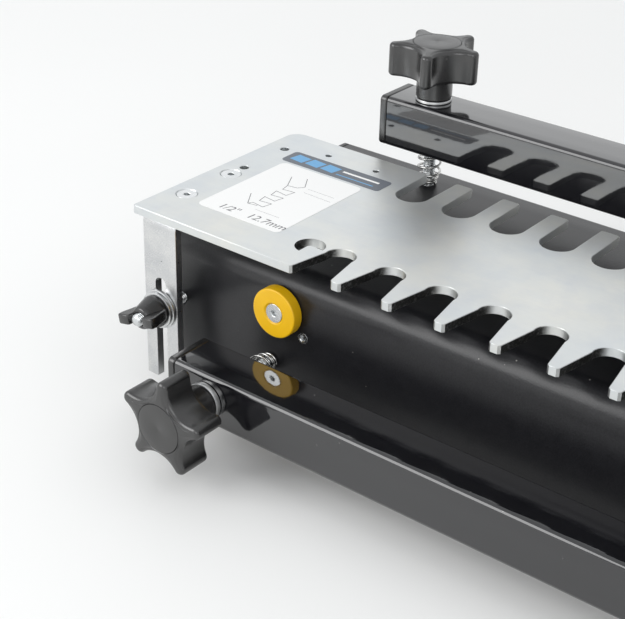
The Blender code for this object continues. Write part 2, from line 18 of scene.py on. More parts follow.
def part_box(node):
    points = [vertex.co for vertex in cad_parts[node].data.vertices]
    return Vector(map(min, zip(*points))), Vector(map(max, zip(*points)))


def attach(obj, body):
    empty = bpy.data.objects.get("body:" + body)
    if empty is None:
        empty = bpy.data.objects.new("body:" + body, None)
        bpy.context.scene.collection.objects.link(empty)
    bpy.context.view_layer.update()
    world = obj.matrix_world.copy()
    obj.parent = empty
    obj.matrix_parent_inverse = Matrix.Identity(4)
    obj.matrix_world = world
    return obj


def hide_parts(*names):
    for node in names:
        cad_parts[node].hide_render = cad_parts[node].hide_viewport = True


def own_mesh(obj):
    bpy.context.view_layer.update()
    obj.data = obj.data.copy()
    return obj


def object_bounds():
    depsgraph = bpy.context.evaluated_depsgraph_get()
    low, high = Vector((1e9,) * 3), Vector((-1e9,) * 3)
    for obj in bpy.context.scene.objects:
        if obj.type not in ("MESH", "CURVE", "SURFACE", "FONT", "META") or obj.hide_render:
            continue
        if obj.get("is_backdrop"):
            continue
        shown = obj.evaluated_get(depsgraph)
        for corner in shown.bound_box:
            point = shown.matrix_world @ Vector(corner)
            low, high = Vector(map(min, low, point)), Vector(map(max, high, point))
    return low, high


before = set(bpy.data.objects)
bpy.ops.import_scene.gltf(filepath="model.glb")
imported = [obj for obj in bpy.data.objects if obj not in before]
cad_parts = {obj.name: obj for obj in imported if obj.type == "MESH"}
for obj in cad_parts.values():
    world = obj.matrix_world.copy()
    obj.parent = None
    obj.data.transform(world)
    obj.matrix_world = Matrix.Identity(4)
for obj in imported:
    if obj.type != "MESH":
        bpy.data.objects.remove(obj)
design_low, design_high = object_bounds()
MM = 0.001
SIDES = {"left": -1, "right": 1}
PLAY = 0.3 * MM
scene = bpy.context.scene
print("design box in mm:", [round(v * 1000, 1) for v in (*design_low, *design_high)])


# %% [markdown]
# ## Shapes from rings
#
# Nearly every piece here is a stack of closed rings, because a ring can be a circle, a rounded square, a
# knob's lobes or a template's comb. Each ring has the same number of points. Neighbouring rings are
# joined by quads and the two end rings are closed by flat caps, so the surface is always one closed skin.


# %% Rings to meshes
def new_object(name, points, faces):
    """A mesh object from points and faces, turned inside out if its signed volume is negative."""
    mesh = bpy.data.meshes.new(name)
    mesh.from_pydata(np.asarray(points, float).tolist(), [], faces)
    mesh.validate()
    shape = bmesh.new()
    shape.from_mesh(mesh)
    if shape.calc_volume(signed=True) < 0:
        bmesh.ops.reverse_faces(shape, faces=shape.faces)
    shape.to_mesh(mesh)
    shape.free()
    obj = bpy.data.objects.new(name, mesh)
    scene.collection.objects.link(obj)
    return obj


def skin(name, rings, loop=False):
    """Joins rings, an array (ring, point, xyz). A loop joins the last ring to the first and has no caps."""
    count, around = rings.shape[:2]
    index = np.arange(count * around).reshape(count, around)
    upper = np.roll(index, -1, axis=0) if loop else index[1:]
    lower = index if loop else index[:-1]
    quads = np.stack(
        [lower, np.roll(lower, -1, axis=1), np.roll(upper, -1, axis=1), upper], axis=-1
    )
    faces = quads.reshape(-1, 4).tolist()
    if not loop:
        faces += [index[0][::-1].tolist(), index[-1].tolist()]
    return new_object(name, rings.reshape(-1, 3), faces)


print("ring functions ready")


# %% [markdown]
# ## Circles, arcs and turned shapes
#
# Round pieces are a profile of radius and height turned about an axis, as on a lathe. Shapes are drawn
# along Z and then stood along the axis that the piece needs, so one function serves studs, knobs and
# washers alike.


# %% Circles, arcs and turned shapes
AXES = {
    "X": ((0, 1, 0), (0, 0, 1), (1, 0, 0)),
    "Y": ((1, 0, 0), (0, 0, 1), (0, 1, 0)),
    "-Y": ((1, 0, 0), (0, 0, 1), (0, -1, 0)),
    "Z": ((1, 0, 0), (0, 1, 0), (0, 0, 1)),
}


def stand(rings, axis="Z", origin=(0, 0, 0)):
    """Turns rings drawn along Z so that their height runs along the axis, and moves them to the origin."""
    return rings @ np.array(AXES[axis], float) + np.array(origin, float)


def circle(count, radius=1.0):
    """Points at equal angles: radius times (cosine, sine) of the angle."""
    turn = np.linspace(0, 2 * math.pi, count, endpoint=False)
    return radius * np.stack([np.cos(turn), np.sin(turn)], axis=1)


def arc(centre, radius, first, last, count):
    """Centre plus radius times (cosine, sine), the angle running evenly from first to last, in degrees."""
    turn = np.radians(np.linspace(first, last, count + 1))
    return np.stack([centre[0] + radius * np.cos(turn), centre[1] + radius * np.sin(turn)], axis=1)


def turned(name, profile, around=64, axis="Z", origin=(0, 0, 0), loop=False):
    """Turns (radius, height) points about the axis: each ring is the unit circle times its radius."""
    profile = np.array(profile, float)
    ring = circle(around)
    flat = profile[:, None, :1] * ring[None]
    height = np.broadcast_to(profile[:, None, 1:], (*flat.shape[:2], 1))
    return skin(name, stand(np.concatenate([flat, height], axis=2), axis, origin), loop)


print("axes a shape can stand along:", list(AXES))


# %% [markdown]
# ## Lofts and rounded outlines
#
# Plates and blocks are an outline repeated at several heights, moved in a little near the two faces. That
# small inset is the broken edge of sawn, punched or moulded parts, and it gives each edge a thin line of
# light.


# %% Lofts and rounded outlines
def moved_in(outline, inset):
    """Each corner moves along the sum of its two edge normals, divided by one plus their dot product."""
    edge = np.roll(outline, -1, axis=0) - outline
    edge /= np.maximum(np.linalg.norm(edge, axis=1, keepdims=True), 1e-12)
    normal = np.stack([-edge[:, 1], edge[:, 0]], axis=1)
    before = np.roll(normal, 1, axis=0)
    bend = 1 + (normal * before).sum(axis=1, keepdims=True)
    return outline + inset * (normal + before) / np.maximum(bend, 0.3)


def loft(name, outline, profile, axis="Z", origin=(0, 0, 0)):
    """A plate or block: for each (inset, height) of the profile, the outline moved in by the inset."""
    x, y = outline[:, 0], outline[:, 1]
    if (x * np.roll(y, -1) - np.roll(x, -1) * y).sum() < 0:
        outline = outline[::-1]
    rings = []
    for inset, height in profile:
        ring = moved_in(outline, inset)
        rings.append(np.column_stack([ring, np.full(len(ring), height)]))
    return skin(name, stand(np.array(rings), axis, origin))


def rounded_edges(low, high, radius, steps=3):
    """A loft profile from low to high: quarter circles at both edges and a narrow flat rim on each cap."""
    turn = np.radians(np.linspace(0, 90, steps + 1))
    inset = radius * (1 - np.sin(turn))
    rise = radius * (1 - np.cos(turn))
    start = list(zip(inset, low + rise))
    end = list(zip(inset[::-1], high - rise[::-1]))
    rim = radius * 1.6
    return [(rim, low), *start, *end, (rim, high)]


def rounded_box(half_u, half_v, radius, count=8):
    """A rectangle's outline with a quarter circle at each corner."""
    corners = ((1, 1, 0), (-1, 1, 90), (-1, -1, 180), (1, -1, 270))
    arcs = [
        arc((u * (half_u - radius), v * (half_v - radius)), radius, first, first + 90, count)
        for u, v, first in corners
    ]
    return np.concatenate(arcs)


print("shape helpers ready")


# %% [markdown]
# ## Holes, joins and finishing
#
# Holes are cut by small solids that flare out a little where they leave the plate. The flare is the
# chamfer that a drill or a punch leaves, and it is what catches the light at the rim of a hole. Booleans
# are applied at once, so each piece ends as one plain mesh.


# %% Booleans and finishing
def combine(obj, tools, operation="DIFFERENCE"):
    """Applies a Boolean with each tool in turn and removes the tools."""
    for tool in tools:
        change = obj.modifiers.new("change", "BOOLEAN")
        change.operation = operation
        change.solver = "EXACT"
        change.object = tool
    graph = bpy.context.evaluated_depsgraph_get()
    made = bpy.data.meshes.new_from_object(obj.evaluated_get(graph))
    obj.modifiers.clear()
    old = obj.data
    obj.data = made
    made.name = obj.name
    bpy.data.meshes.remove(old)
    for tool in tools:
        bpy.data.objects.remove(tool)
    return obj


def hole(radius, low, high, axis, origin, flare=0.25 * MM, around=40):
    """A cutter for a round hole that widens by the flare over the last stretch at both faces."""
    reach = 2 * MM
    profile = [
        (radius + flare + reach, low - reach),
        (radius, low + flare),
        (radius, high - flare),
        (radius + flare + reach, high + reach),
    ]
    return turned("cutter", profile, around, axis, origin)


def shade(obj, sharp=32):
    """Smooth shading with hard edges where the surface turns by more than the angle."""
    shape = bmesh.new()
    shape.from_mesh(obj.data)
    bmesh.ops.remove_doubles(shape, verts=shape.verts, dist=1e-7)
    shape.to_mesh(obj.data)
    shape.free()
    obj.data.polygons.foreach_set("use_smooth", [True] * len(obj.data.polygons))
    obj.data.set_sharp_from_angle(angle=math.radians(sharp))
    return obj


def piece(obj, body, material, node=None, sharp=32):
    """Gives a mesh its shading, material and body, and hides the design node it stands for."""
    shade(obj, sharp)
    obj.data.materials.clear()
    obj.data.materials.append(material)
    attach(obj, body)
    if node is not None:
        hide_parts(node)
    return obj


def middle(node):
    low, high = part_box(node)
    return (low + high) / 2


def seat(node, axis, centre):
    """Where a piece on this centre line starts and how long it is: -Y starts at the back, Z at the bottom."""
    low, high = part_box(node)
    if axis == "-Y":
        return (centre.x, high.y, centre.z), high.y - low.y
    return (centre.x, centre.y, low.z), high.z - low.z


print("cutting and finishing helpers ready")


# %% [markdown]
# ## Materials
#
# Real-scale detail lives in the materials. Object coordinates are metres here, so a noise scale of 1000
# gives features about a millimetre wide. The shared effects are node groups that give only values and
# normals, and each material keeps its own Principled shader.


# %% Node helpers
def feed(tree, target, value):
    """Links a socket to the target input, or sets the input's own value."""
    if isinstance(value, bpy.types.NodeSocket):
        tree.links.new(value, target)
    else:
        target.default_value = value


def add(tree, kind, links=None, **settings):
    """A node whose settings are attributes and whose links are input names with a value or a socket."""
    node = tree.nodes.new("ShaderNode" + kind)
    for name, value in settings.items():
        setattr(node, name, value)
    for name, value in (links or {}).items():
        feed(tree, node.inputs[name], value)
    return node


def calculate(tree, operation, *values, **settings):
    """One Math node on values or sockets."""
    return add(tree, "Math", dict(enumerate(values)), operation=operation, **settings).outputs[0]


def ramp(tree, source, first, last, low=0.0, high=1.0):
    """Maps a value from first..last to low..high and clamps it."""
    links = {"Value": source, 1: first, 2: last, 3: low, 4: high}
    return add(tree, "MapRange", links).outputs["Result"]


def group(name, inputs, outputs):
    """An empty node group with float or vector sockets."""
    tree = bpy.data.node_groups.new(name, "ShaderNodeTree")
    for socket, kind in inputs:
        tree.interface.new_socket(socket, in_out="INPUT", socket_type="NodeSocket" + kind)
    for socket, kind in outputs:
        tree.interface.new_socket(socket, in_out="OUTPUT", socket_type="NodeSocket" + kind)
    return tree, tree.nodes.new("NodeGroupInput"), tree.nodes.new("NodeGroupOutput")


def noise(tree, vector, scale, detail=3.0, rough=0.5):
    links = {"Vector": vector, "Scale": scale, "Detail": detail, "Roughness": rough}
    return add(tree, "TexNoise", links).outputs["Fac"]


def use(tree, shared, links):
    """Places a shared node group in a material with its own values."""
    node = tree.nodes.new("ShaderNodeGroup")
    node.node_tree = shared
    for name, value in links.items():
        feed(tree, node.inputs[name], value)
    return node


def blend_colour(tree, share, first, second):
    """First colour where the share is 0 and second where it is 1."""
    mix = add(tree, "Mix", data_type="RGBA")
    inputs = {"Factor_Float": share, "A_Color": first, "B_Color": second}
    for identifier, value in inputs.items():
        feed(tree, next(s for s in mix.inputs if s.identifier == identifier), value)
    return next(s for s in mix.outputs if s.identifier == "Result_Color")


def start_material(name, **constants):
    """A material with a Principled shader, its object coordinates, and its constant settings."""
    made = bpy.data.materials.new(name)
    made.use_nodes = True
    tree = made.node_tree
    shader = tree.nodes["Principled BSDF"]
    for socket, value in constants.items():
        shader.inputs[socket.replace("_", " ")].default_value = value
    coords = tree.nodes.new("ShaderNodeTexCoord").outputs["Object"]
    return made, tree, shader, coords


def wire(tree, shader, colour, smudge, bump):
    """Leads a colour, a roughness and a normal to the shader."""
    tree.links.new(colour, shader.inputs["Base Color"])
    tree.links.new(smudge.outputs["Roughness"], shader.inputs["Roughness"])
    tree.links.new(bump.outputs["Normal"], shader.inputs["Normal"])


print("node helpers ready")


# %% [markdown]
# ## Shared effects
#
# Three effects return on several finishes: the fine grain of a powder coat or a moulding, sparse dust on
# whatever looks up, and the marks of handling. Each is a node group, so a change made once shows on every
# finish.


# %% Shared groups
def make_texture_group():
    """Coat texture: fine grains over a slow orange peel, as a height and its normal."""
    tree, source, target = group(
        "coat_texture",
        [("Vector", "Vector"), ("Grain", "Float"), ("Depth", "Float")],
        [("Height", "Float"), ("Normal", "Vector")],
    )
    vector = source.outputs["Vector"]
    fine = noise(tree, vector, source.outputs["Grain"], 3, 0.6)
    slow = noise(tree, vector, 160, 2, 0.5)
    mix = calculate(tree, "MULTIPLY_ADD", slow, 0.3, fine)
    relief = {"Strength": 1.0, "Distance": source.outputs["Depth"], "Height": mix}
    bump = add(tree, "Bump", relief)
    tree.links.new(mix, target.inputs["Height"])
    tree.links.new(bump.outputs["Normal"], target.inputs["Normal"])
    return tree


def make_dust_group():
    """Dust: sparse small specks, most of them where the surface looks up."""
    tree, source, target = group(
        "dust", [("Vector", "Vector"), ("Amount", "Float")], [("Mask", "Float")]
    )
    vector = source.outputs["Vector"]
    cells = add(tree, "TexVoronoi", {"Vector": vector, "Scale": 260.0, "Randomness": 1.0})
    near = ramp(tree, cells.outputs["Distance"], 0.05, 0.11, 1.0, 0.0)
    split = add(tree, "SeparateColor", {"Color": cells.outputs["Color"]})
    chosen = ramp(tree, split.outputs[0], 0.93, 0.97)
    facing = add(tree, "SeparateXYZ", {"Vector": add(tree, "NewGeometry").outputs["Normal"]})
    upward = ramp(tree, facing.outputs["Z"], -0.2, 0.6, 0.3, 1.0)
    specks = calculate(tree, "MULTIPLY", calculate(tree, "MULTIPLY", near, chosen), upward)
    mask = calculate(tree, "MULTIPLY", specks, source.outputs["Amount"], use_clamp=True)
    tree.links.new(mask, target.inputs["Mask"])
    return tree


def make_smudge_group():
    """Handling marks: slow patches and fine streaks that lift the roughness a little."""
    inputs = [("Vector", "Vector"), ("Base", "Float"), ("Spread", "Float")]
    tree, source, target = group("smudges", inputs, [("Roughness", "Float")])
    vector = source.outputs["Vector"]
    patches = noise(tree, vector, 22, 4, 0.55)
    stretched = add(tree, "Mapping", {"Vector": vector, "Scale": (40, 900, 900)})
    streaks = noise(tree, stretched.outputs["Vector"], 1.0, 2, 0.5)
    centred = calculate(tree, "SUBTRACT", calculate(tree, "ADD", patches, streaks), 1.0)
    spread, base = source.outputs["Spread"], source.outputs["Base"]
    tree.links.new(calculate(tree, "MULTIPLY_ADD", centred, spread, base), target.inputs["Roughness"])
    return tree


COAT_TEXTURE = make_texture_group()
DUST = make_dust_group()
SMUDGES = make_smudge_group()


print("node groups:", [g.name for g in bpy.data.node_groups])


# %% [markdown]
# ## One function for each finish
#
# The base has a fine textured powder coat. The two bars have a smooth black paint that mirrors what is
# near it, with a slight waviness. The template is plated steel: nearly matt, with a slow mottle and a
# trace of warm and cool colour. The knobs are satin mouldings.


# %% Painted finishes
def make_powder_coat():
    made, tree, shader, coords = start_material("powder_coat", Specular_IOR_Level=0.46)
    texture = use(tree, COAT_TEXTURE, {"Vector": coords, "Grain": 1300.0, "Depth": 0.00006})
    dust = use(tree, DUST, {"Vector": coords, "Amount": 0.8})
    tone = ramp(tree, texture.outputs["Height"], 0.45, 0.85)
    base = blend_colour(tree, tone, (0.0065, 0.0065, 0.008, 1), (0.015, 0.015, 0.017, 1))
    dusty = blend_colour(tree, dust.outputs["Mask"], base, (0.34, 0.33, 0.31, 1))
    smudge = use(tree, SMUDGES, {"Vector": coords, "Base": 0.29, "Spread": 0.03})
    wire(tree, shader, dusty, smudge, texture)
    return made


def make_gloss_paint():
    made, tree, shader, coords = start_material(
        "gloss_paint", Specular_IOR_Level=0.5, Coat_Weight=1.0, Coat_IOR=1.5, Coat_Roughness=0.03
    )
    peel = noise(tree, coords, 360, 2, 0.5)
    bump = add(tree, "Bump", {"Strength": 0.6, "Distance": 0.00005, "Height": peel})
    dust = use(tree, DUST, {"Vector": coords, "Amount": 0.55})
    base = blend_colour(tree, peel, (0.0065, 0.0065, 0.008, 1), (0.010, 0.010, 0.012, 1))
    dusty = blend_colour(tree, dust.outputs["Mask"], base, (0.3, 0.29, 0.28, 1))
    smudge = use(tree, SMUDGES, {"Vector": coords, "Base": 0.085, "Spread": 0.07})
    wire(tree, shader, dusty, smudge, bump)
    return made


print("painted finishes: powder coat and gloss paint")


# %% [markdown]
# ## Metal finishes
#
# Plating is never one grey. The template mixes a warm and a cool steel in slow patches. The flanks of its
# front slots get painted shade, a darker colour that stands in for the dark base they reflect. Zinc, screw
# steel and spring wire are one recipe with different numbers.


# %% Metal finishes
def flank_shade_mask(tree, coords):
    """Painted shade on the front slots' flanks, which face along X, with a ragged limit: a darker colour in
    place of the dark base they reflect.
    """
    facing = add(tree, "SeparateXYZ", {"Vector": add(tree, "NewGeometry").outputs["Normal"]})
    flank = ramp(tree, calculate(tree, "ABSOLUTE", facing.outputs["X"]), 0.45, 0.85)
    place = add(tree, "SeparateXYZ", {"Vector": coords})
    front = ramp(tree, place.outputs["Y"], -0.026, -0.032)
    inner = ramp(tree, calculate(tree, "ABSOLUTE", place.outputs["X"]), 0.2, 0.19)
    ragged = ramp(tree, noise(tree, coords, 700, 3, 0.6), 0.3, 0.5, 0.55, 1.0)
    comb = calculate(tree, "MULTIPLY", calculate(tree, "MULTIPLY", flank, front), inner)
    return calculate(tree, "MULTIPLY", comb, ragged)


def make_template_metal():
    made, tree, shader, coords = start_material("template_metal", Metallic=1.0)
    slow = noise(tree, coords, 16, 4, 0.6)
    patch = noise(tree, coords, 70, 4, 0.6)
    fine = noise(tree, coords, 2600, 2, 0.5)
    drift = ramp(tree, slow, 0.35, 0.65)
    warm = blend_colour(tree, drift, (0.66, 0.69, 0.70, 1), (0.74, 0.74, 0.70, 1))
    mottle = ramp(tree, patch, 0.42, 0.75, 0, 0.45)
    mottled = blend_colour(tree, mottle, warm, (0.58, 0.61, 0.65, 1))
    # Painted shade: the front slots' flanks are darkened in colour to stand in for the dark base they
    # reflect.
    scale = flank_shade_mask(tree, coords)
    flank_shade_colour = blend_colour(tree, fine, (0.05, 0.05, 0.05, 1), (0.26, 0.26, 0.25, 1))
    with_flank_shade = blend_colour(tree, scale, mottled, flank_shade_colour)
    bump = add(tree, "Bump", {"Strength": 0.35, "Distance": 0.00002, "Height": fine})
    smudge = use(tree, SMUDGES, {"Vector": coords, "Base": 0.37, "Spread": 0.16})
    wire(tree, shader, with_flank_shade, smudge, bump)
    return made


def make_steel(name, dark, light, roughness, grain_scale):
    """Zinc-plated steel: a fine crystal grain in colour and height, with handling marks."""
    made, tree, shader, coords = start_material(name, Metallic=1.0)
    grain = noise(tree, coords, grain_scale, 3, 0.6)
    slow = noise(tree, coords, 90, 3, 0.6)
    share = ramp(tree, calculate(tree, "MULTIPLY", grain, slow), 0.15, 0.4)
    colour = blend_colour(tree, share, (*dark, 1), (*light, 1))
    bump = add(tree, "Bump", {"Strength": 0.3, "Distance": 0.000015, "Height": grain})
    smudge = use(tree, SMUDGES, {"Vector": coords, "Base": roughness, "Spread": 0.12})
    wire(tree, shader, colour, smudge, bump)
    return made


print("metal finishes: template metal and plated steel")


# %% [markdown]
# ## Moulded, yellow and printed finishes
#
# Moulded plastic copies the fine texture of its mould, so it shares the coat's grain at half the size.
# The yellow discs keep a smoother coat, and the label is paper with a faint fibre.


# %% Moulded, yellow and printed finishes
def make_plastic():
    made, tree, shader, coords = start_material("black_plastic", Specular_IOR_Level=1.0)
    texture = use(tree, COAT_TEXTURE, {"Vector": coords, "Grain": 2600.0, "Depth": 0.00003})
    dust = use(tree, DUST, {"Vector": coords, "Amount": 0.45})
    tone = ramp(tree, texture.outputs["Height"], 0.45, 0.85)
    base = blend_colour(tree, tone, (0.008, 0.0075, 0.0075, 1), (0.015, 0.0145, 0.0145, 1))
    dusty = blend_colour(tree, dust.outputs["Mask"], base, (0.3, 0.3, 0.29, 1))
    smudge = use(tree, SMUDGES, {"Vector": coords, "Base": 0.25, "Spread": 0.08})
    wire(tree, shader, dusty, smudge, texture)
    return made


def make_yellow():
    """Yellow painted metal: two close tones and a fine grain."""
    made, tree, shader, coords = start_material("yellow_paint", Specular_IOR_Level=0.5)
    slow = noise(tree, coords, 140, 3, 0.55)
    fine = noise(tree, coords, 2200, 2, 0.5)
    colour = blend_colour(tree, slow, (0.76, 0.43, 0.002, 1), (0.84, 0.49, 0.004, 1))
    bump = add(tree, "Bump", {"Strength": 0.4, "Distance": 0.00003, "Height": fine})
    smudge = use(tree, SMUDGES, {"Vector": coords, "Base": 0.38, "Spread": 0.1})
    wire(tree, shader, colour, smudge, bump)
    return made


def make_print(name, colour, second, roughness):
    """Printed or laminated paper: a faint fibre tone and a slight sheen."""
    made, tree, shader, coords = start_material(name, Specular_IOR_Level=0.4)
    fibre = noise(tree, coords, 1800, 3, 0.6)
    tone = blend_colour(tree, fibre, (*colour, 1), (*second, 1))
    bump = add(tree, "Bump", {"Strength": 0.2, "Distance": 0.00001, "Height": fibre})
    smudge = use(tree, SMUDGES, {"Vector": coords, "Base": roughness, "Spread": 0.08})
    wire(tree, shader, tone, smudge, bump)
    return made


# %% [markdown]
# ## The finishes of this jig
#
# Each finish is made once and shared by every piece that wears it. The colours are linear values.


# %% The finishes of this jig
POWDER = make_powder_coat()
GLOSS = make_gloss_paint()
TEMPLATE = make_template_metal()
ZINC = make_steel("zinc", (0.56, 0.57, 0.58), (0.72, 0.72, 0.71), 0.3, 1400.0)
STEEL = make_steel("screw_steel", (0.62, 0.64, 0.65), (0.8, 0.81, 0.81), 0.27, 1900.0)
SPRING = make_steel("spring_wire", (0.55, 0.55, 0.54), (0.74, 0.73, 0.7), 0.2, 2400.0)
PLASTIC = make_plastic()
YELLOW = make_yellow()
PAPER = make_print("label_paper", (0.83, 0.83, 0.82), (0.89, 0.89, 0.88), 0.42)
INK = make_print("label_ink", (0.13, 0.13, 0.14), (0.17, 0.17, 0.18), 0.5)
BAND = make_print("label_band", (0.095, 0.11, 0.135), (0.12, 0.135, 0.16), 0.35)
BLUE = make_print("label_blue", (0.1, 0.34, 0.62), (0.13, 0.38, 0.66), 0.35)
print("finishes:", len(bpy.data.materials))


# %% [markdown]
# ## The base
#
# The base is a sheet bent over a wide radius at the front and a tight one at the back, with feet folded
# inwards. Its section is one closed outline, drawn round the outside and back along the inside, and
# stretched along X. Flat end plates close it.

# %% Base section
base_low, base_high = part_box("base_body")
SHEET = 3 * MM
FRONT_ROLL = 11 * MM
REAR_ROLL = 4 * MM
FOOT_FOLD = 5 * MM
FOOT_WIDTH = 24 * MM
FOOT_HOLE_X = 150 * MM
FOOT_HOLE_INSET = 14 * MM
FOOT_HOLE_R = 3.3 * MM
STUD_HOLE_R = 3.25 * MM
STOP_HOLE_R = 2.3 * MM
SPARE_HOLE_R = 2.1 * MM
SPARE_SIDEWAYS = 12.2 * MM
SPARE_DOWN = 10.6 * MM


def channel_side(inset):
    """Four arcs from the front foot over the top to the rear foot, moved in by the inset."""
    corners = (
        (base_low.y, 1, 0, FOOT_FOLD, -90, -180, 8),
        (base_low.y, 1, base_high.z, FRONT_ROLL, 180, 90, 20),
        (base_high.y, -1, base_high.z, REAR_ROLL, 90, 0, 10),
        (base_high.y, -1, 0, FOOT_FOLD, 0, -90, 8),
    )
    arcs = []
    for y, inward, z, radius, first, last, count in corners:
        upward = 1 if z == 0 else -1
        centre = (y + inward * radius, z + upward * radius)
        arcs.append(arc(centre, radius - inset, first, last, count))
    return np.concatenate(arcs)


def base_section():
    """Out along the outer skin from the front foot to the rear foot, and back along the inner skin."""
    front_foot = base_low.y + FOOT_WIDTH
    rear_foot = base_high.y - FOOT_WIDTH
    outer = np.vstack([[(front_foot, 0.0)], channel_side(0), [(rear_foot, 0.0)]])
    inner = np.vstack([[(rear_foot, SHEET)], channel_side(SHEET)[::-1], [(front_foot, SHEET)]])
    return np.vstack([outer, inner])


print("points round the section:", len(base_section()))


# %% [markdown]
# ## Holes and ends of the base
#
# The real sheet is punched flat and then folded. Here the folded shell is made first and the holes are
# cut through it, one for each stud, stop and bench screw, at the places that the design's nodes give.


# %% Base with its holes and ends
def round_base():
    """The folded sheet with every hole that a stud, a stop or a bench screw passes."""
    edge = rounded_edges(base_low.x, base_high.x, 0.2 * MM, 2)
    body = loft("base_shell", base_section(), edge, "X")
    front, deck = base_low.y, base_high.z
    cutters = []
    for name, side in SIDES.items():
        depth = middle("depth_stud_" + name)
        clamp = middle("clamp_stud_front_" + name)
        stop = middle("side_stop_" + name)
        rear = middle("clamp_stud_rear_" + name)
        spare = (stop.x - side * SPARE_SIDEWAYS, stop.z - SPARE_DOWN)
        spots = [
            (depth.x, depth.z, STUD_HOLE_R),
            (clamp.x, clamp.z, STUD_HOLE_R),
            (stop.x, stop.z, STOP_HOLE_R),
            (*spare, SPARE_HOLE_R),
        ]
        for x, z, radius in spots:
            cutters.append(hole(radius, front, front + SHEET, "Y", (x, 0, z)))
        cutters.append(hole(STUD_HOLE_R, deck - SHEET, deck, "Z", (rear.x, rear.y, 0)))
        for y in (base_low.y + FOOT_HOLE_INSET, base_high.y - FOOT_HOLE_INSET):
            cutters.append(hole(FOOT_HOLE_R, 0, SHEET, "Z", (side * FOOT_HOLE_X, y, 0)))
    return combine(body, cutters)


piece(round_base(), "base", POWDER, "base_body")
for name, side in SIDES.items():
    low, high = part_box("end_plate_" + name)
    edges = rounded_edges(low.x, high.x, 0.6 * MM)
    plate = loft("end_cover_" + name, channel_side(0), edges, "X")
    piece(plate, "base", POWDER, "end_plate_" + name)
print("base box in mm:", [round(v * 1000, 1) for v in (*base_low, *base_high)])


# %% [markdown]
# ## The finger template
#
# The template is one flat comb. Twelve tapered slots run in from the front and thirteen straight ones
# from the back, all on a pitch of 25.4 mm. A narrow loft profile gives its edges the small chamfer of
# milled plate.

# %% Template outline
plate_low, plate_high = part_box("template_plate")
PITCH = 25.4 * MM
FRONT_SLOTS = 12
SLOT_END_R = 6.9 * MM
SLOT_DEPTH = 20.4 * MM
SLOT_TAPER = 10.2
REAR_SLOT_R = 8.05 * MM
REAR_SLOT_DEPTH = 24 * MM
TIP_ROUND = 1.6 * MM
HOOK_X = 155.4 * MM
HOOK_Y = plate_low.y + 19.9 * MM
HOOK_R = 6.8 * MM
SCREW_HOLE_R = 2.8 * MM
PLAIN_HOLE_R = 2.2 * MM
PLAIN_HOLE_Y = (plate_low.y + 64.9 * MM, plate_low.y + 95.1 * MM)
SMALL_HOLE_R = 1.5 * MM
SMALL_HOLE_X = (209.9 * MM, 181.3 * MM)
SMALL_HOLE_Y = plate_low.y + 102.7 * MM


def front_slot(centre):
    """A round end and two straight flanks leaning out by the taper, with the mouth's corners eased."""
    end = arc((centre, plate_low.y + SLOT_DEPTH), SLOT_END_R, 180 + SLOT_TAPER, -SLOT_TAPER, 28)
    lean = math.tan(math.radians(SLOT_TAPER))
    drop = end[-1, 1] - plate_low.y
    mouth = end[-1, 0] - centre + drop * lean
    ease = 0.9 * MM
    edge = plate_low.y
    left = [(centre - mouth - ease, edge), (centre - mouth + ease * lean, edge + ease)]
    right = [(centre + mouth - ease * lean, edge + ease), (centre + mouth + ease, edge)]
    return np.vstack([left, end, right])


def rear_slot(centre):
    """A half circle and two straight flanks that round over into the back edge."""
    inner = plate_high.y - TIP_ROUND
    side = REAR_SLOT_R + TIP_ROUND
    return np.vstack(
        [
            arc((centre + side, inner), TIP_ROUND, 90, 180, 6),
            arc((centre, plate_high.y - REAR_SLOT_DEPTH), REAR_SLOT_R, 0, -180, 28),
            arc((centre - side, inner), TIP_ROUND, 0, 90, 6),
        ]
    )


def template_outline():
    """Front edge with its slots from left to right, then the back edge with its slots from right to left."""
    half = plate_high.x
    front_corner, rear_corner = 1.5 * MM, 7 * MM
    front, back = plate_low.y + front_corner, plate_high.y - rear_corner
    parts = [arc((-half + front_corner, front), front_corner, 180, 270, 6)]
    for i in range(FRONT_SLOTS):
        parts.append(front_slot((i - (FRONT_SLOTS - 1) / 2) * PITCH))
    parts.append(arc((half - front_corner, front), front_corner, 270, 360, 6))
    parts.append(arc((half - rear_corner, back), rear_corner, 0, 90, 14))
    for i in reversed(range(FRONT_SLOTS + 1)):
        parts.append(rear_slot((i - FRONT_SLOTS / 2) * PITCH))
    parts.append(arc((-half + rear_corner, back), rear_corner, 90, 180, 14))
    return np.vstack(parts)


print("template outline points:", len(template_outline()))


# %% [markdown]
# ## Holes in the template
#
# Four countersinks seat the bracket screws. Beside them are plain holes, and near each end a hooked hole
# whose tongue is left standing by the punch. Cutters of these shapes are subtracted from the comb.


# %% Template with its holes
def hook_cutter(side):
    """Three quarters of a round hole. The quarter towards the middle and the front stays as a tongue."""
    ends = arc((0, 0), HOOK_R, 0, 264, 60)
    tongue = np.array([(-0.7 * MM, -0.9 * MM), (0.3 * MM, 0.1 * MM)])
    outline = np.vstack([ends, tongue]) * (-side, 1) + (side * HOOK_X, HOOK_Y)
    return loft("cutter", outline, [(0, plate_low.z - MM), (0, plate_high.z + MM)])


def screw_seat(x, y):
    """The countersink and through hole of one bracket screw."""
    top = plate_high.z
    profile = [
        (SCREW_HOLE_R, -6 * MM),
        (SCREW_HOLE_R, -2.6 * MM),
        (5.15 * MM, -0.25 * MM),
        (5.3 * MM, 0.0),
        (6.3 * MM, 1 * MM),
    ]
    return turned("cutter", profile, 64, "Z", (x, y, top))


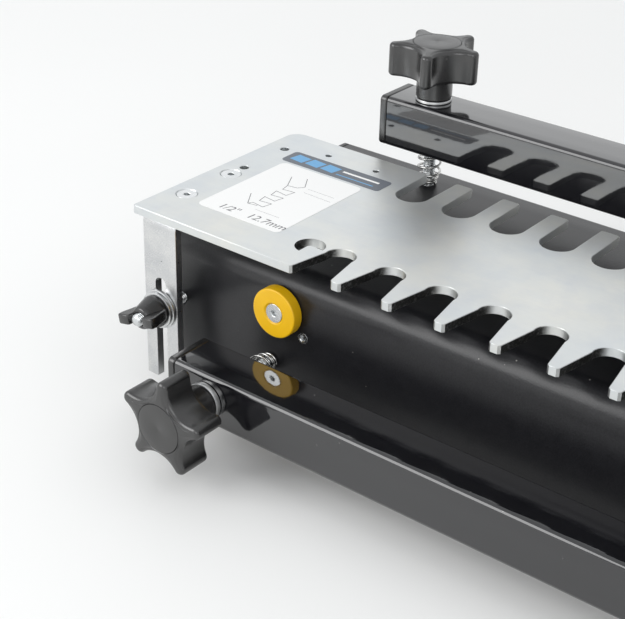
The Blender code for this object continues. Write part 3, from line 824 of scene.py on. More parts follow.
def build_template():
    """The comb with chamfered edges, less the hooks, the screw seats and the plain holes."""
    edge = 0.22 * MM
    low, high = plate_low.z, plate_high.z
    profile = [(edge, low), (0, low + edge), (0, high - edge), (edge, high)]
    plate = loft("template_comb", template_outline(), profile)
    cutters = []
    for name, side in SIDES.items():
        cutters.append(hook_cutter(side))
        for end in ("front", "rear"):
            screw = middle(f"bracket_screw_{name}_{end}")
            cutters.append(screw_seat(screw.x, screw.y))
        x = middle("bracket_screw_left_front").x * -side
        for y in PLAIN_HOLE_Y:
            cutters.append(hole(PLAIN_HOLE_R, low, high, "Z", (x, y, 0)))
        for x in SMALL_HOLE_X:
            cutters.append(hole(SMALL_HOLE_R, low, high, "Z", (side * x, SMALL_HOLE_Y, 0)))
    return combine(plate, cutters)


piece(build_template(), "template", TEMPLATE, "template_plate")
print("template box in mm:", [round(v * 1000, 1) for v in (*plate_low, *plate_high)])


# %% [markdown]
# ## Brackets and their screws
#
# Each bracket is a steel angle. Its short leg lies under the template and its long leg is forked, so that
# it can rise and fall on the depth stud. Two socket screws with countersunk heads hold it.

# %% Brackets
BRACKET_THICKNESS = 4 * MM
BRACKET_BEND = 6 * MM
FORK_R = 3.3 * MM
FORK_TOP = 61 * MM


def bracket_section(low, high):
    """The angle seen from the end: down the outside, round the bend, and back along the inside."""
    bend = (low.y + BRACKET_BEND, high.z - BRACKET_BEND)
    outside = arc(bend, BRACKET_BEND, 180, 90, 12)
    inside = arc(bend, BRACKET_BEND - BRACKET_THICKNESS, 90, 180, 8)
    return np.vstack(
        [
            [(low.y, low.z)],
            outside,
            [(high.y, high.z), (high.y, high.z - BRACKET_THICKNESS)],
            inside,
            [(low.y + BRACKET_THICKNESS, low.z)],
        ]
    )


def build_bracket(name):
    """The angle, less the fork's slot, the screw holes and a small punch mark."""
    low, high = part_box("bracket_" + name)
    x = (low.x + high.x) / 2
    made = loft(
        "fork_bracket_" + name,
        bracket_section(low, high),
        rounded_edges(low.x, high.x, 0.35 * MM, 2),
        "X",
    )
    slot = np.vstack(
        [
            arc((x, FORK_TOP - FORK_R), FORK_R, 0, 180, 24),
            [(x - FORK_R, low.z - MM), (x + FORK_R, low.z - MM)],
        ]
    )
    reach = (low.y - MM, low.y + BRACKET_THICKNESS + MM)
    cutters = [loft("cutter", slot, [(0, reach[0]), (0, reach[1])], "Y")]
    for end in ("front", "rear"):
        y = middle(f"bracket_screw_{name}_{end}").y
        bottom = high.z - BRACKET_THICKNESS
        cutters.append(hole(SCREW_HOLE_R, bottom, high.z, "Z", (x, y, 0)))
    spot = (x + 1.2 * MM, low.y, low.z + 62 * MM)
    mark = turned("cutter", [(0.2 * MM, -0.5 * MM), (0.9 * MM, 0.5 * MM)], 20, "-Y", spot)
    return combine(made, [*cutters, mark])


# %% [markdown]
# ## Socket screws
#
# A countersunk socket screw is turned from the tip of its shank to the rim of its head, and a hexagon is
# then cut into the head. The same function makes the bracket screws and the side stops' screws.


# %% Socket screws
def build_socket_screw(name, top, axis, origin, head_r, shank_r, length, socket_r, depth):
    """Shank, cone, a rim with a soft edge, and a hexagon socket with a coned bottom."""
    lip = 0.12 * MM
    profile = [
        (shank_r * 0.8, top - length),
        (shank_r, top - length + 0.4 * MM),
        (shank_r, top - (head_r - shank_r) - 0.4 * MM),
        (head_r, top - 0.4 * MM),
        (head_r, top - lip),
        (head_r - lip, top),
        (head_r - 3 * lip, top),
    ]
    screw = turned(name, profile, 64, axis, origin)
    hexagon = circle(6, socket_r)
    wide = 0.18 * MM
    cut_profile = [(0.6 * socket_r, top - depth - 0.3 * MM), (0, top - depth)]
    cut_profile += [(0, top - wide), (-1 * MM - wide, top + 1 * MM)]
    socket = loft("cutter", hexagon, cut_profile, axis, origin)
    return combine(screw, [socket])


for name in SIDES:
    bracket = build_bracket(name)
    piece(bracket, "template", ZINC, "bracket_" + name)
    for end in ("front", "rear"):
        node = f"bracket_screw_{name}_{end}"
        low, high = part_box(node)
        origin = (middle(node).x, middle(node).y, 0)
        screw = build_socket_screw(
            "socket_screw_" + name + "_" + end,
            high.z, "Z", origin, 4.75 * MM, 2.5 * MM, high.z - low.z, 1.7 * MM, 2.1 * MM,
        )
        piece(screw, "template", STEEL, node)
print("brackets and screws made")


# %% [markdown]
# ## Threaded studs
#
# A thread is a two-parameter surface. The radius at a height and an angle follows a triangle wave of the
# height in pitches less the angle in turns, so the ridge climbs one pitch in each turn. It fades out at
# the chamfered ends.

# %% Studs
THREAD_PITCH = 1.0 * MM
THREAD_DEPTH = 0.34 * MM
STUD_R = 2.95 * MM


def threaded_rod(name, length, axis, origin):
    """Radius = rod radius less depth times a flattened triangle wave of (height / pitch - angle / turn)."""
    around, per_pitch = 40, 10
    rows = int(length / THREAD_PITCH * per_pitch) + 1
    height = np.linspace(0, length, rows)[:, None]
    share = np.arange(around)[None] / around
    wave = np.abs(((height / THREAD_PITCH - share) % 1.0) * 2 - 1)
    depth = THREAD_DEPTH * np.clip(1.25 * wave - 0.12, 0, 1)
    end = np.minimum(height, length - height)
    radius = np.minimum(STUD_R - depth, STUD_R - 0.9 * MM + end)
    turn = share * 2 * math.pi
    rings = np.stack(
        [radius * np.cos(turn), radius * np.sin(turn), np.broadcast_to(height, radius.shape)],
        axis=2,
    )
    return skin(name, stand(rings, axis, origin))


for group_name, rod_name, axis in (
    ("depth_stud_", "depth_rod_", "-Y"),
    ("clamp_stud_front_", "front_rod_", "-Y"),
    ("clamp_stud_rear_", "rear_rod_", "Z"),
):
    for name in SIDES:
        node = group_name + name
        origin, length = seat(node, axis, middle(node))
        rod = threaded_rod(rod_name + name, length, axis, origin)
        piece(rod, "base", STEEL, node, 50)
print("threads per rod:", round(length / THREAD_PITCH))


# %% [markdown]
# ## Springs
#
# A spring pushes each bar away from the base. Its wire is a circle carried along a helix. The helix
# starts as tight narrow coils at the base and opens towards the bar.

# %% Springs
WIRE_R = 0.6 * MM
NECK_R = 3.8 * MM
OPEN_R = 5.4 * MM
TIGHT_COILS = 2.5
OPEN_COILS = 3


def spring_line(length, turns):
    """Radius grows smoothly from neck to open after 1.5 turns, and the pitch changes from tight to open."""
    tight_height = TIGHT_COILS * 2.25 * WIRE_R
    pitch = (length - 2 * WIRE_R - tight_height) / OPEN_COILS
    grow = np.clip((turns - 1.5) / 1.5, 0, 1)
    radius = NECK_R + (OPEN_R - NECK_R) * grow * grow * (3 - 2 * grow)
    height = WIRE_R + np.minimum(turns, TIGHT_COILS) / TIGHT_COILS * tight_height
    height = height + np.maximum(0, turns - TIGHT_COILS) * pitch
    angle = 2 * math.pi * turns
    return np.stack([radius * np.cos(angle), radius * np.sin(angle), height], axis=1)


def build_spring(name, length, axis, origin):
    """Centre line plus wire radius times (cosine along the outward normal, sine along the binormal)."""
    turns = np.linspace(0, TIGHT_COILS + OPEN_COILS, 331)
    line = spring_line(length, turns)
    tangent = np.gradient(line, axis=0)
    tangent /= np.linalg.norm(tangent, axis=1, keepdims=True)
    outward = line * (1, 1, 0)
    outward -= (outward * tangent).sum(axis=1, keepdims=True) * tangent
    outward /= np.linalg.norm(outward, axis=1, keepdims=True)
    across = np.cross(tangent, outward)
    ring = circle(14, WIRE_R)[None]
    rings = line[:, None] + ring[..., :1] * outward[:, None] + ring[..., 1:] * across[:, None]
    return skin(name, stand(rings, axis, origin))


for bar, axis in (("front", "-Y"), ("rear", "Z")):
    for name in SIDES:
        node = f"spring_{bar}_{name}"
        origin, length = seat(node, axis, middle(f"clamp_stud_{bar}_{name}"))
        coil = build_spring(f"coil_{bar}_{name}", length, axis, origin)
        piece(coil, "base", SPRING, node)
        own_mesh(coil)
print("spring length in mm:", round(length * 1000, 1))


# %% [markdown]
# ## Clamp bars
#
# Both bars are the same square tube with a moulded cap in each end. A stud passes through each bar near
# its ends.

# %% Bars and caps
TUBE_ROUND = 2.5 * MM
TUBE_WALL = 1.5 * MM
BAR_HOLE_R = 3.5 * MM
CAP_FLANGE = 4 * MM


def build_tube(bar, node):
    """A hollow square tube: the outline's ring runs out along the outside and back along the inside."""
    low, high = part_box(node)
    centre = middle(node)
    half = (high.z - low.z) / 2
    outer = rounded_box(half, half, TUBE_ROUND, 10)
    inner = rounded_box(half - TUBE_WALL, half - TUBE_WALL, TUBE_ROUND - TUBE_WALL, 10)
    ease = 0.15 * MM
    rows = [
        (outer, low.x + ease),
        (outer, high.x - ease),
        (moved_in(outer, ease), high.x),
        (inner, high.x),
        (inner, low.x),
        (moved_in(outer, ease), low.x),
    ]
    rings = np.array([np.column_stack([ring, np.full(len(ring), x)]) for ring, x in rows])
    tube = skin(bar + "_tube", stand(rings, "X", (0, centre.y, centre.z)), loop=True)
    axis = "Y" if bar == "front" else "Z"
    along = centre.y if bar == "front" else centre.z
    cutters = []
    for name in SIDES:
        x = middle(f"clamp_stud_{bar}_{name}").x
        origin = (x, 0, centre.z) if bar == "front" else (x, centre.y, 0)
        cutters.append(hole(BAR_HOLE_R, along - half, along + half, axis, origin))
    return combine(tube, cutters)


def build_bar_cap(label, side):
    """A flange with rounded edges and a plug that fills the inside of the tube."""
    low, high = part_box("bar_cap_" + label)
    centre = middle("bar_cap_" + label)
    half = (high.z - low.z) / 2
    origin = (0, centre.y, centre.z)
    face, tip = (high.x, low.x) if side > 0 else (low.x, high.x)
    start, end = sorted((face, face - side * CAP_FLANGE))
    outline = rounded_box(half, half, TUBE_ROUND, 8)
    cap = loft("end_cap_" + label, outline, rounded_edges(start, end, 0.9 * MM, 4), "X", origin)
    plug_half = half - TUBE_WALL - PLAY
    first, last = sorted((tip, face - side * (CAP_FLANGE - MM)))
    inner = rounded_box(plug_half, plug_half, 1 * MM, 4)
    plug = loft("plug", inner, rounded_edges(first, last, 0.5 * MM, 2), "X", origin)
    return combine(cap, [plug], "UNION")


for bar in ("front", "rear"):
    body = bar + "_clamp_bar"
    piece(build_tube(bar, bar + "_bar"), body, GLOSS, bar + "_bar")
    for name, side in SIDES.items():
        label = bar + "_" + name
        cap = build_bar_cap(label, side)
        piece(cap, body, PLASTIC, "bar_cap_" + label)
print("bars and caps made")


# %% [markdown]
# ## Star knobs
#
# A knob is one surface of rings. Its plan is five round-ended lobes joined by hollow arcs. Each ring is
# that plan moved in, and the rings rise over a rounded shoulder to a top that slopes up to the cap.
# Below, the plan shrinks to the round hub.

# %% Knob plan
LOBES = 5
TIP_R = 3 * MM
TIP_CENTRE = 19.5 * MM
VALLEY_R = 13.8 * MM
HUB_R = 8.7 * MM
HUB = 10.2 * MM
HEAD = 16.8 * MM
CAP_R = 11.4 * MM
KNOB_TURN = {"front": 14.0, "rear": 2.4}


def knob_plan(turn):
    """Per lobe, a tip arc and a hollow arc that meet tangentially, turned by equal steps."""
    half_pitch = math.pi / LOBES
    step = TIP_R - VALLEY_R
    reach = TIP_CENTRE * math.cos(half_pitch)
    hollow = (TIP_CENTRE**2 - step**2) / (2 * (reach + step))
    rise = hollow * math.sin(half_pitch)
    run = hollow * math.cos(half_pitch) - TIP_CENTRE
    meet = math.degrees(math.atan2(rise, run))
    last = 2 * (math.degrees(half_pitch) + 180) - meet - 180
    tip = arc((TIP_CENTRE, 0), TIP_R, -meet, meet, 20)
    dip = arc((TIP_CENTRE + run, rise), hollow - VALLEY_R, meet + 180, last, 24)[1:-1]
    lobe = np.vstack([tip, dip])
    parts = []
    for i in range(LOBES):
        angle = math.radians(turn) + 2 * i * half_pitch
        cosine, sine = math.cos(angle), math.sin(angle)
        parts.append(lobe @ np.array([[cosine, sine], [-sine, cosine]]))
    return np.vstack(parts)


print("knob plan points:", len(knob_plan(0.0)))


# %% [markdown]
# ## Rings of a knob
#
# Moulded knobs have no hard edge, because the mould must let them go. So the rings follow quarter circles
# where the hub meets the head and where the sides meet the top, and a gentle slope rises from the lobes
# to the cap.


# %% Knob rings
KNOB_ROUNDING = 1.9 * MM


def round_over(radius, quarters):
    """Inset and rise of a quarter circle at each of these angles in degrees."""
    turn = np.radians(quarters)
    return zip(radius * (1 - np.sin(turn)), radius * (1 - np.cos(turn)))


def knob_rings(turn, start):
    """Rings from the hub's foot up to the cap's seat. A share blends the plan into a circle."""
    plan = knob_plan(turn)
    direction = plan / np.linalg.norm(plan, axis=1, keepdims=True)
    neck = start + HUB
    top = neck + HEAD
    shoulder = top - 0.55 * MM
    hub = [(-1.2, start), (-0.5, start), (0, start + 0.5 * MM), (0, neck - 2 * MM)]
    hub += [(0.25, neck - 0.9 * MM), (0.9, neck - 0.2 * MM), (1.8, neck)]
    rows = [(direction * (HUB_R + wider * MM), height) for wider, height in hub]
    for inset, rise in round_over(KNOB_ROUNDING, np.linspace(0, 90, 7)):
        rows.append((moved_in(plan, inset), neck + rise))
    for inset, rise in round_over(KNOB_ROUNDING, np.linspace(90, 0, 8)):
        rows.append((moved_in(plan, inset), shoulder - rise))
    rings = [np.column_stack([flat, np.full(len(flat), height)]) for flat, height in rows]
    rim = np.array(rings[-1])
    seat_r = CAP_R + 0.35 * MM
    for share in (0.35, 0.7, 0.92, 1.0):
        flat = rim[:, :2] * (1 - share) + direction * seat_r * share
        slope = shoulder + (top - shoulder) * math.sin(share * math.pi / 2)
        rings.append(np.column_stack([flat, np.full(len(flat), slope)]))
    wall = CAP_R + 0.2 * MM
    for radius, drop in ((seat_r - 0.2 * MM, 0.15 * MM), (wall, 0.5 * MM), (wall, 1.4 * MM)):
        rings.append(np.column_stack([direction * radius, np.full(len(flat), top - drop)]))
    return np.array(rings)


print("rings in a knob:", len(knob_rings(0.0, 0.0)))


# %% [markdown]
# ## Knob, cap and washer
#
# Three parts stack on each clamp stud: a pressed washer, the knob with its blind bore, and a thin cap
# that hides the moulding's core. The cap is barely crowned, so it carries a soft reflection.


# %% Knob, cap and washer
def build_knob(name, turn, start, axis, origin):
    """The head and hub, with the stud's bore."""
    knob = skin(name, stand(knob_rings(turn, start), axis, origin))
    profile = [
        (4.2 * MM, start - 1 * MM),
        (3.2 * MM, start + 0.4 * MM),
        (3.2 * MM, start + 20 * MM),
        (0.5 * MM, start + 22 * MM),
    ]
    return combine(knob, [turned("cutter", profile, 40, axis, origin)])


def build_knob_cap(name, top, axis, origin):
    """A disc with a soft rim, a barely crowned face and a dimple in the middle."""
    profile = [
        (CAP_R - 0.6 * MM, top - 1.1 * MM),
        (CAP_R, top - 1.1 * MM),
        (CAP_R, top - 0.15 * MM),
        (CAP_R - 0.12 * MM, top + 0.04 * MM),
        (CAP_R - 0.4 * MM, top + 0.12 * MM),
        (CAP_R - 4.0 * MM, top + 0.2 * MM),
        (1.2 * MM, top + 0.24 * MM),
        (0.7 * MM, top + 0.1 * MM),
    ]
    return turned(name, profile, 96, axis, origin)


def build_washer(name, outer, bore, low, high, axis, origin):
    """A pressed washer: one edge rounded by the punch and the other nearly square."""
    soft, hard = 0.3 * MM, 0.1 * MM
    profile = [
        (bore, low + hard),
        (bore + hard, low),
        (outer - hard, low),
        (outer, low + hard),
        (outer, high - soft),
        (outer - 0.3 * soft, high - 0.3 * soft),
        (outer - soft, high),
        (bore + soft, high),
        (bore + 0.3 * soft, high - 0.3 * soft),
        (bore, high - soft),
    ]
    return turned(name, profile, 72, axis, origin, loop=True)


WASHER_BORE_R = 3.3 * MM
print("knob, cap and washer ready")


# %% [markdown]
# ## Four knobs in place
#
# The front knobs point towards the user and the rear knobs point up. Each rides on its own body, because
# it turns on its stud while the bar slides.


# %% Knobs, caps and washers
for bar, axis in (("front", "-Y"), ("rear", "Z")):
    for name in SIDES:
        label = f"{bar}_{name}"
        body = f"{bar}_knob_{name}"
        centre = middle("clamp_stud_" + label)
        origin, thickness = seat("knob_washers_" + label, axis, centre)
        foot = seat("knob_" + label, axis, centre)[0]
        start = origin[1] - foot[1] if bar == "front" else foot[2] - origin[2]
        ring = build_washer(
            "thin_washer_" + label, 8.75 * MM, WASHER_BORE_R, 0, thickness, axis, origin
        )
        piece(ring, body, ZINC, "knob_washers_" + label)
        knob = build_knob("star_" + label, KNOB_TURN[bar], start, axis, origin)
        piece(knob, body, PLASTIC, "knob_" + label)
        cap = build_knob_cap("star_cap_" + label, start + HUB + HEAD, axis, origin)
        piece(cap, body, PLASTIC, "knob_cap_" + label)
print("knobs made:", len(KNOB_TURN) * len(SIDES))


# %% [markdown]
# ## Depth gear
#
# On each depth stud a knurled nut stands behind the bracket, two washers lie before it, and a wing knob
# pulls them together. The wings rise forward from the hub like two fins.

# %% Stop nuts
STOP_NUT_R = 10 * MM
FLUTES = 24


def build_stop_nut(name):
    """A disc whose radius dips in flat-bottomed flutes, with a short collar towards the base and a bore."""
    low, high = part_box("stop_nut_" + name)
    centre = middle("stop_nut_" + name)
    turn = np.linspace(0, 2 * math.pi, FLUTES * 10, endpoint=False)
    dip = np.clip(1.6 * np.cos(FLUTES * turn) - 0.4, 0, 1)
    radius = STOP_NUT_R - 0.75 * MM * dip
    plan = np.stack([radius * np.cos(turn), radius * np.sin(turn)], axis=1)
    origin = (centre.x, low.y, centre.z)
    length = high.y - low.y
    nut = loft("knurled_nut_" + name, plan, rounded_edges(0, length, 0.5 * MM), "Y", origin)
    collar_end = length + 1.9 * MM
    profile = [(5 * MM, length - MM), (6 * MM, length - MM)]
    profile += [(6 * MM, collar_end - 0.4 * MM), (5.6 * MM, collar_end)]
    nut = combine(nut, [turned("collar", profile, 48, "Y", origin)], "UNION")
    return combine(nut, [hole(3.15 * MM, 0, collar_end, "Y", origin)])


for name in SIDES:
    node = "stop_nut_" + name
    piece(build_stop_nut(name), node, PLASTIC, node)
print("flutes on a stop nut:", FLUTES)


# %% [markdown]
# ## Wing knobs
#
# A wing knob is a tapered hub with two fins for finger and thumb. It is drawn in millimetres about its
# own axis, joined, and then scaled and turned to the position in which it was left.


# %% Wing knobs
WING_TURN = math.radians(12)


def build_wing(half_turn):
    """One fin: a plan that widens a little from the hub's foot and ends in a blunt tip beside the stud."""
    plan = np.array(
        [
            (1.0, 1.2), (8.2, 1.2), (8.9, 2.6), (10.2, 8.0), (10.9, 10.4), (11.0, 12.9), (10.6, 13.6),
            (10.0, 13.8), (5.5, 13.8), (4.7, 13.4), (4.3, 12.6), (4.2, 11.0), (3.7, 9.6), (1.0, 9.0),
        ]
    )
    fin = loft("fin", plan, rounded_edges(-2.5, 2.5, 0.7, 3))
    turn = Matrix.Rotation(half_turn, 4, "Z") @ Matrix.Rotation(math.pi / 2, 4, "X")
    fin.data.transform(turn)
    return fin


def build_wing_knob(name):
    """A tapered hub, two fins and a bore, joined and turned to the position it was left in."""
    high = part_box("wing_knob_" + name)[1]
    centre = middle("depth_washers_" + name)
    hub_profile = [
        (6.4, 0), (7.4, 0.0), (7.8, 0.4), (7.8, 1.6), (7.5, 2.4), (6.5, 6.0), (5.7, 8.6), (5.4, 9.6),
        (5.0, 10.2), (4.4, 10.4),
    ]
    knob = turned("wing_grip_" + name, hub_profile, 64)
    fins = [build_wing(WING_TURN), build_wing(WING_TURN + math.pi)]
    knob = combine(knob, fins, "UNION")
    bore = hole(3.15, 0, 10.4, "Z", (0, 0, 0), 0.4)
    knob = combine(knob, [bore])
    place = Matrix.Translation((centre.x, high.y, centre.z))
    face = Matrix(((1, 0, 0), (0, 0, -1), (0, 1, 0))).to_4x4()
    knob.data.transform(place @ face @ Matrix.Scale(MM, 4))
    return knob


for name in SIDES:
    node = "wing_knob_" + name
    piece(build_wing_knob(name), node, PLASTIC, node, 40)
print("wing knobs made:", len(SIDES))


# %% [markdown]
# ## Washers of the depth gear
#
# The design has one solid for the pair of washers in front of each bracket. Here it becomes two rings, a
# wide one and a slightly smaller one, with a hair's gap between them that shows as a dark line.


# %% Depth washers
LOCK_WASHER_R = 8.9 * MM
HALF_GAP = 0.05 * MM
for name in SIDES:
    node = "depth_washers_" + name
    low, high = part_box(node)
    origin, length = seat(node, "-Y", middle(node))
    wide_r = (high.x - low.x) / 2
    near, far = length / 2 - HALF_GAP, length / 2 + HALF_GAP
    inner = build_washer("wide_washer_" + name, wide_r, WASHER_BORE_R, 0, near, "-Y", origin)
    piece(inner, "depth_washers", ZINC, node)
    outer = build_washer("lock_washer_" + name, LOCK_WASHER_R, WASHER_BORE_R, far, length, "-Y", origin)
    piece(outer, "depth_washers", ZINC)
print("gap between washers in mm:", round(2 * HALF_GAP / MM, 2))


# %% [markdown]
# ## Side stops
#
# A yellow disc on the front face sets the standing board sideways. A countersunk socket screw holds it.

# %% Side stops
def build_stop_disc(name):
    """A disc with a soft outer edge and a coned pocket for the screw's head."""
    low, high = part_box("side_stop_" + name)
    centre = middle("side_stop_" + name)
    radius = (high.x - low.x) / 2
    length = high.y - low.y
    soft = 0.7 * MM
    profile = [(2.4 * MM, 0.2 * MM), (2.6 * MM, 0), (radius - 0.4 * MM, 0), (radius, 0.4 * MM)]
    for inset, rise in round_over(soft, np.linspace(90, 0, 6)):
        profile.append((radius - inset, length - rise))
    profile += [(radius - 1.3 * MM, length), (radius - 1.5 * MM, length)]
    profile += [(5.3 * MM, length), (5.1 * MM, length - 0.15 * MM), (2.4 * MM, length - 2.9 * MM)]
    return turned("stop_disc_" + name, profile, 96, "-Y", (centre.x, high.y, centre.z), loop=True)


def build_insert(name, origin):
    """A pressed-in thread: a thin flange outside the wall and a sleeve with three crests in the hole."""
    profile = [(2.0 * MM, -2.6 * MM), (2.0 * MM, 0.02 * MM), (2.7 * MM, 0.02 * MM)]
    profile += [(2.6 * MM, 0.25 * MM), (1.7 * MM, 0.25 * MM), (1.45 * MM, 0)]
    for crest in (0.5, 1.2, 1.9):
        profile += [(1.65 * MM, -crest * MM), (1.45 * MM, (-crest - 0.35) * MM)]
    profile.append((1.5 * MM, -2.6 * MM))
    return turned(name, profile, 40, "-Y", origin, loop=True)


for name, side in SIDES.items():
    piece(build_stop_disc(name), "base", YELLOW, "side_stop_" + name)
    node = "side_stop_screw_" + name
    centre = middle(node)
    origin, length = seat(node, "-Y", centre)
    sizes = (4.5 * MM, 2 * MM, length, 1.6 * MM, 1.9 * MM)
    screw = build_socket_screw("stop_screw_" + name, length, "-Y", origin, *sizes)
    piece(screw, "base", STEEL, node)
    spare = (centre.x - side * SPARE_SIDEWAYS, base_low.y, centre.z - SPARE_DOWN)
    piece(build_insert("thread_insert_" + name, spare), "base", STEEL)
low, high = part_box("side_stop_left")
print("stop disc radius in mm:", round((high.x - low.x) / 2 / MM, 1))


# %% [markdown]
# ## Nuts inside the base
#
# The nuts behind the walls show only from below, so they keep the design's own solids and take the steel
# finish.

# %% Hidden nuts
for name in SIDES:
    hidden = ["depth_lock_nut_" + name, "stud_nut_front_" + name, "stud_nut_rear_" + name]
    for node in hidden:
        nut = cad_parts[node]
        nut.data.materials.clear()
        nut.data.materials.append(STEEL)
print("hidden nuts:", len(hidden) * len(SIDES))


# %% [markdown]
# ## The label
#
# The left end of the template carries a white label with the size of the joint and a thin drawing of
# dovetails. Behind it lies a narrow dark band with three plain blue blocks, a pale rule and a blue rule.
# The films, lines and blocks are real thin solids, so that they export as shapes and need no image.


# %% Label helpers
LABEL_LOW = (-221 * MM, plate_low.y + 20 * MM)
LABEL_HIGH = (-173.6 * MM, plate_low.y + 82 * MM)
BAND_LOW = (-224.7 * MM, plate_low.y + 84 * MM)
BAND_HIGH = (-167 * MM, plate_low.y + 96.5 * MM)
FILM = 0.12 * MM
INK_FILM = 0.02 * MM


def film(name, low, high, corner, bottom, thickness):
    """A thin rounded rectangle with an eased upper edge."""
    half = ((high[0] - low[0]) / 2, (high[1] - low[1]) / 2)
    outline = rounded_box(*half, corner, 8)
    ease = thickness * 0.4
    profile = [(0, bottom), (0, bottom + thickness - ease), (ease, bottom + thickness)]
    profile.append((ease * 3, bottom + thickness))
    centre = ((low[0] + high[0]) / 2, (low[1] + high[1]) / 2, 0)
    return loft(name, outline, profile, "Z", centre)


def stroke(points, width, bottom, thickness):
    """A thin flat line along points: each corner is moved half the width to either side of the path."""
    points = np.array(points, float)
    ahead = np.vstack([points[1:] - points[:-1], points[-1:] - points[-2:-1]])
    ahead /= np.linalg.norm(ahead, axis=1, keepdims=True)
    behind = np.vstack([ahead[:1], ahead[:-1]])
    normal = np.stack([-(ahead + behind)[:, 1], (ahead + behind)[:, 0]], axis=1)
    normal /= np.maximum(np.linalg.norm(normal, axis=1, keepdims=True) ** 2, 0.6) / 2
    left, right = points + normal * width / 2, points - normal * width / 2
    ring = np.stack([left, right], axis=1)
    low = np.dstack([ring, np.full(ring.shape[:2], bottom)])
    high = np.dstack([ring[:, ::-1], np.full(ring.shape[:2], bottom + thickness)])
    return skin("stroke", np.concatenate([low, high], axis=1))


def join(name, parts):
    """Several closed meshes in one object."""
    shape = bmesh.new()
    for part in parts:
        shape.from_mesh(part.data)
    mesh = bpy.data.meshes.new(name)
    shape.to_mesh(mesh)
    shape.free()
    for part in parts:
        bpy.data.objects.remove(part)
    obj = bpy.data.objects.new(name, mesh)
    scene.collection.objects.link(obj)
    return obj


print("label box in mm:", [round(v * 1000, 1) for v in (*LABEL_LOW, *LABEL_HIGH)])


# %% [markdown]
# ## Drawing and words
#
# The drawing shows a board's dovetails from the side, as a few heavy strokes and a few faint ones. The
# only words are the size in inches and millimetres, cut from Blender's own font.


# %% Drawing and words
def dovetail_drawing(bottom):
    """A zigzag of three tails and the edges of two boards, in heavy and faint lines."""
    zigzag = [(0, 0)]
    for i in range(3):
        y = 6.0 * i
        zigzag += [(0.9, y + 1.6), (5.6, y + 0.9), (6.3, y + 4.6), (1.6, y + 4.0)]
    zigzag += [(0.9, 19.4), (4.6, 20.0)]
    heavy = [
        zigzag,
        [(0, 0), (-4.2, 6.6)],
        [(0, 0), (3.6, 0.6)],
        [(0.9, 19.4), (-2.6, 26.0)],
        [(4.6, 20.0), (6.2, 22.2)],
        [(6.2, 22.2), (2.6, 28.0)],
    ]
    faint = [
        [(8.0, 21.6), (19.0, 21.6)],
        [(8.6, 18.6), (20.0, 18.2)],
        [(5.0, -2.0), (15.0, -2.0)],
    ]
    start = np.array([-203.5 * MM, plate_low.y + 35.0 * MM])
    parts = []
    for width, lines in ((0.34, heavy), (0.14, faint)):
        for line in lines:
            path = np.array(line) * 1.38 * MM + start
            parts.append(stroke(path, width * MM, bottom, INK_FILM))
    return join("label_drawing", parts)


def lettering(name, words, size, x, y, bottom, lean):
    """Text as a thin solid lying on the label."""
    curve = bpy.data.curves.new(name, "FONT")
    curve.body = words
    curve.size = size
    curve.shear = lean
    curve.extrude = INK_FILM / 2
    curve.resolution_u = 6
    source = bpy.data.objects.new(name + "_source", curve)
    scene.collection.objects.link(source)
    graph = bpy.context.evaluated_depsgraph_get()
    mesh = bpy.data.meshes.new_from_object(source.evaluated_get(graph))
    bpy.data.objects.remove(source)
    mesh.transform(Matrix.Translation((x, y, bottom + INK_FILM / 2)))
    obj = bpy.data.objects.new(name, mesh)
    scene.collection.objects.link(obj)
    return obj


print("drawing and lettering ready")


# %% [markdown]
# ## The label's pieces
#
# The sheet and the band lie a hair above the plate, and the print lies a hair above them. All of it rides
# on the template.


# %% Label pieces
top = plate_high.z
paper_top = top + FILM
label = film("label_sheet", LABEL_LOW, LABEL_HIGH, 3 * MM, top + 0.01 * MM, FILM - 0.01 * MM)
piece(label, "template", PAPER)
band = film("label_strip", BAND_LOW, BAND_HIGH, 2 * MM, top + 0.01 * MM, FILM - 0.01 * MM)
piece(band, "template", BAND)
flashes = []
for i in range(3):
    left = -222.0 + 9.2 * i
    block = np.array([(left + 1.2, 94.2), (left, 87.6), (left + 7.8, 86.8), (left + 9.0, 93.4)])
    outline = block * MM + (0, plate_low.y)
    flashes.append(loft("block", outline, [(0, paper_top), (0, paper_top + INK_FILM)]))
piece(join("label_flashes", flashes), "template", BLUE)
rules = (
    ("label_rule_pale", [(-192.5, 91.6), (-171.5, 91.6)], 1.5, PAPER),
    ("label_rule_blue", [(-193.5, 87.2), (-172.0, 87.2)], 0.7, BLUE),
)
for label_name, ends, width, finish in rules:
    rule = stroke(np.array(ends) * MM + (0, plate_low.y), width * MM, paper_top, INK_FILM)
    piece(join(label_name, [rule]), "template", finish)
piece(dovetail_drawing(paper_top), "template", INK)
words_y = plate_low.y + 23.4 * MM
words = lettering("label_size", "1/2\"   12.7mm", 6.7 * MM, -211.8 * MM, words_y, paper_top, 0.1)
piece(words, "template", INK)
print("blue blocks:", len(flashes))


# %% [markdown]
# ## Camera
#
# The camera stands in front of the right half and looks down along the jig towards the left end, where
# the label is. Its place is given from the template's corner, so it follows the design if the template
# moves.

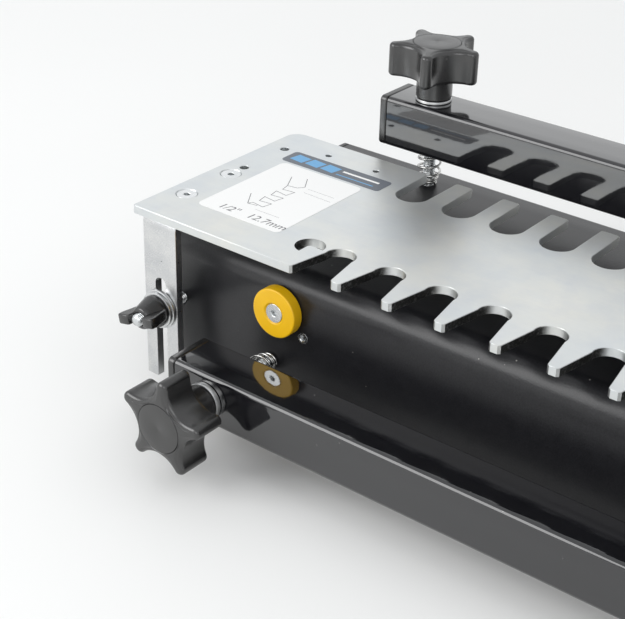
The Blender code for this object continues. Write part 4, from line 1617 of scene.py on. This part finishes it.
# %% Camera
VIEW_TURN = math.radians(37.77)
VIEW_DOWN = math.radians(28.86)
VIEW_ROLL = math.radians(1.44)
VIEW_PLACE = (plate_high.x - 56 * MM, plate_low.y - 417.4 * MM, plate_high.z + 274.6 * MM)
VIEW_LENS = 83.62
camera = bpy.data.objects.new("camera", bpy.data.cameras.new("camera"))
scene.collection.objects.link(camera)
camera.data.lens = VIEW_LENS
camera.data.sensor_width = 36
camera.data.sensor_fit = "HORIZONTAL"
camera.data.dof.use_dof = False
camera.data.clip_start = 0.01
ahead = Vector(
    (
        -math.sin(VIEW_TURN) * math.cos(VIEW_DOWN),
        math.cos(VIEW_TURN) * math.cos(VIEW_DOWN),
        -math.sin(VIEW_DOWN),
    )
)
camera.rotation_mode = "QUATERNION"
roll = Matrix.Rotation(VIEW_ROLL, 3, "Z").to_quaternion()
camera.rotation_quaternion = ahead.to_track_quat("-Z", "Y") @ roll
camera.location = VIEW_PLACE
scene.camera = camera
print("camera at:", [round(v, 4) for v in camera.location])


# %% [markdown]
# ## Floor and light
#
# Product pictures are taken on a pale sweep under large soft boxes, which keep the shadows faint. Two
# boxes stand in front and a weak one behind, and a pale world fills in from all sides.


# %% Floor and light
def make_floor():
    """Matt card with a barely visible drift of tone."""
    made, tree, shader, coords = start_material("floor_card", Roughness=0.9)
    tone = noise(tree, coords, 3, 3, 0.5)
    colour = blend_colour(tree, tone, (0.855, 0.855, 0.845, 1), (0.885, 0.885, 0.875, 1))
    tree.links.new(colour, shader.inputs["Base Color"])
    return made


FLOOR_HALF = 3.0
floor_mesh = bpy.data.meshes.new("floor")
corners = [(x * FLOOR_HALF, y * FLOOR_HALF, 0) for x, y in ((-1, -1), (1, -1), (1, 1), (-1, 1))]
floor_mesh.from_pydata(corners, [], [(0, 1, 2, 3)])
floor = bpy.data.objects.new("floor", floor_mesh)
scene.collection.objects.link(floor)
floor.data.materials.append(make_floor())
floor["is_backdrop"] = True


LIGHT_TARGET = (0, 0, 0.05)


def soft_light(name, place, size, power):
    """A rectangular area light that looks at the middle of the jig."""
    light = bpy.data.lights.new(name, "AREA")
    light.shape = "RECTANGLE"
    light.size, light.size_y = size
    light.energy = power
    obj = bpy.data.objects.new(name, light)
    scene.collection.objects.link(obj)
    obj.location = place
    look = Vector(LIGHT_TARGET) - Vector(place)
    obj.rotation_euler = look.to_track_quat("-Z", "Y").to_euler()
    obj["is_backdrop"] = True


soft_light("front_box", (-1.15, -1.5, 1.05), (1.4, 1.4), 22)
soft_light("right_box", (1.0, -1.6, 1.2), (1.2, 1.2), 8)
soft_light("back_box", (-1.3, 1.7, 1.2), (1.8, 1.4), 2.5)
world = bpy.data.worlds.new("studio")
world.use_nodes = True
background = world.node_tree.nodes["Background"]
background.inputs["Color"].default_value = (0.97, 0.985, 1.0, 1)
background.inputs["Strength"].default_value = 0.83
scene.world = world
scene.view_settings.view_transform = "Standard"


# %% [markdown]
#
# The box of the visible pieces is measured, kept beside the design's box and printed. The visible
# pieces must stay inside the design's box.

shown_low, shown_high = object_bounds()
sizes = {
    "design": [list(design_low), list(design_high)],
    "shown": [list(shown_low), list(shown_high)],
}
print("shown box in mm:", [round(v * 1000, 1) for v in (*shown_low, *shown_high)])
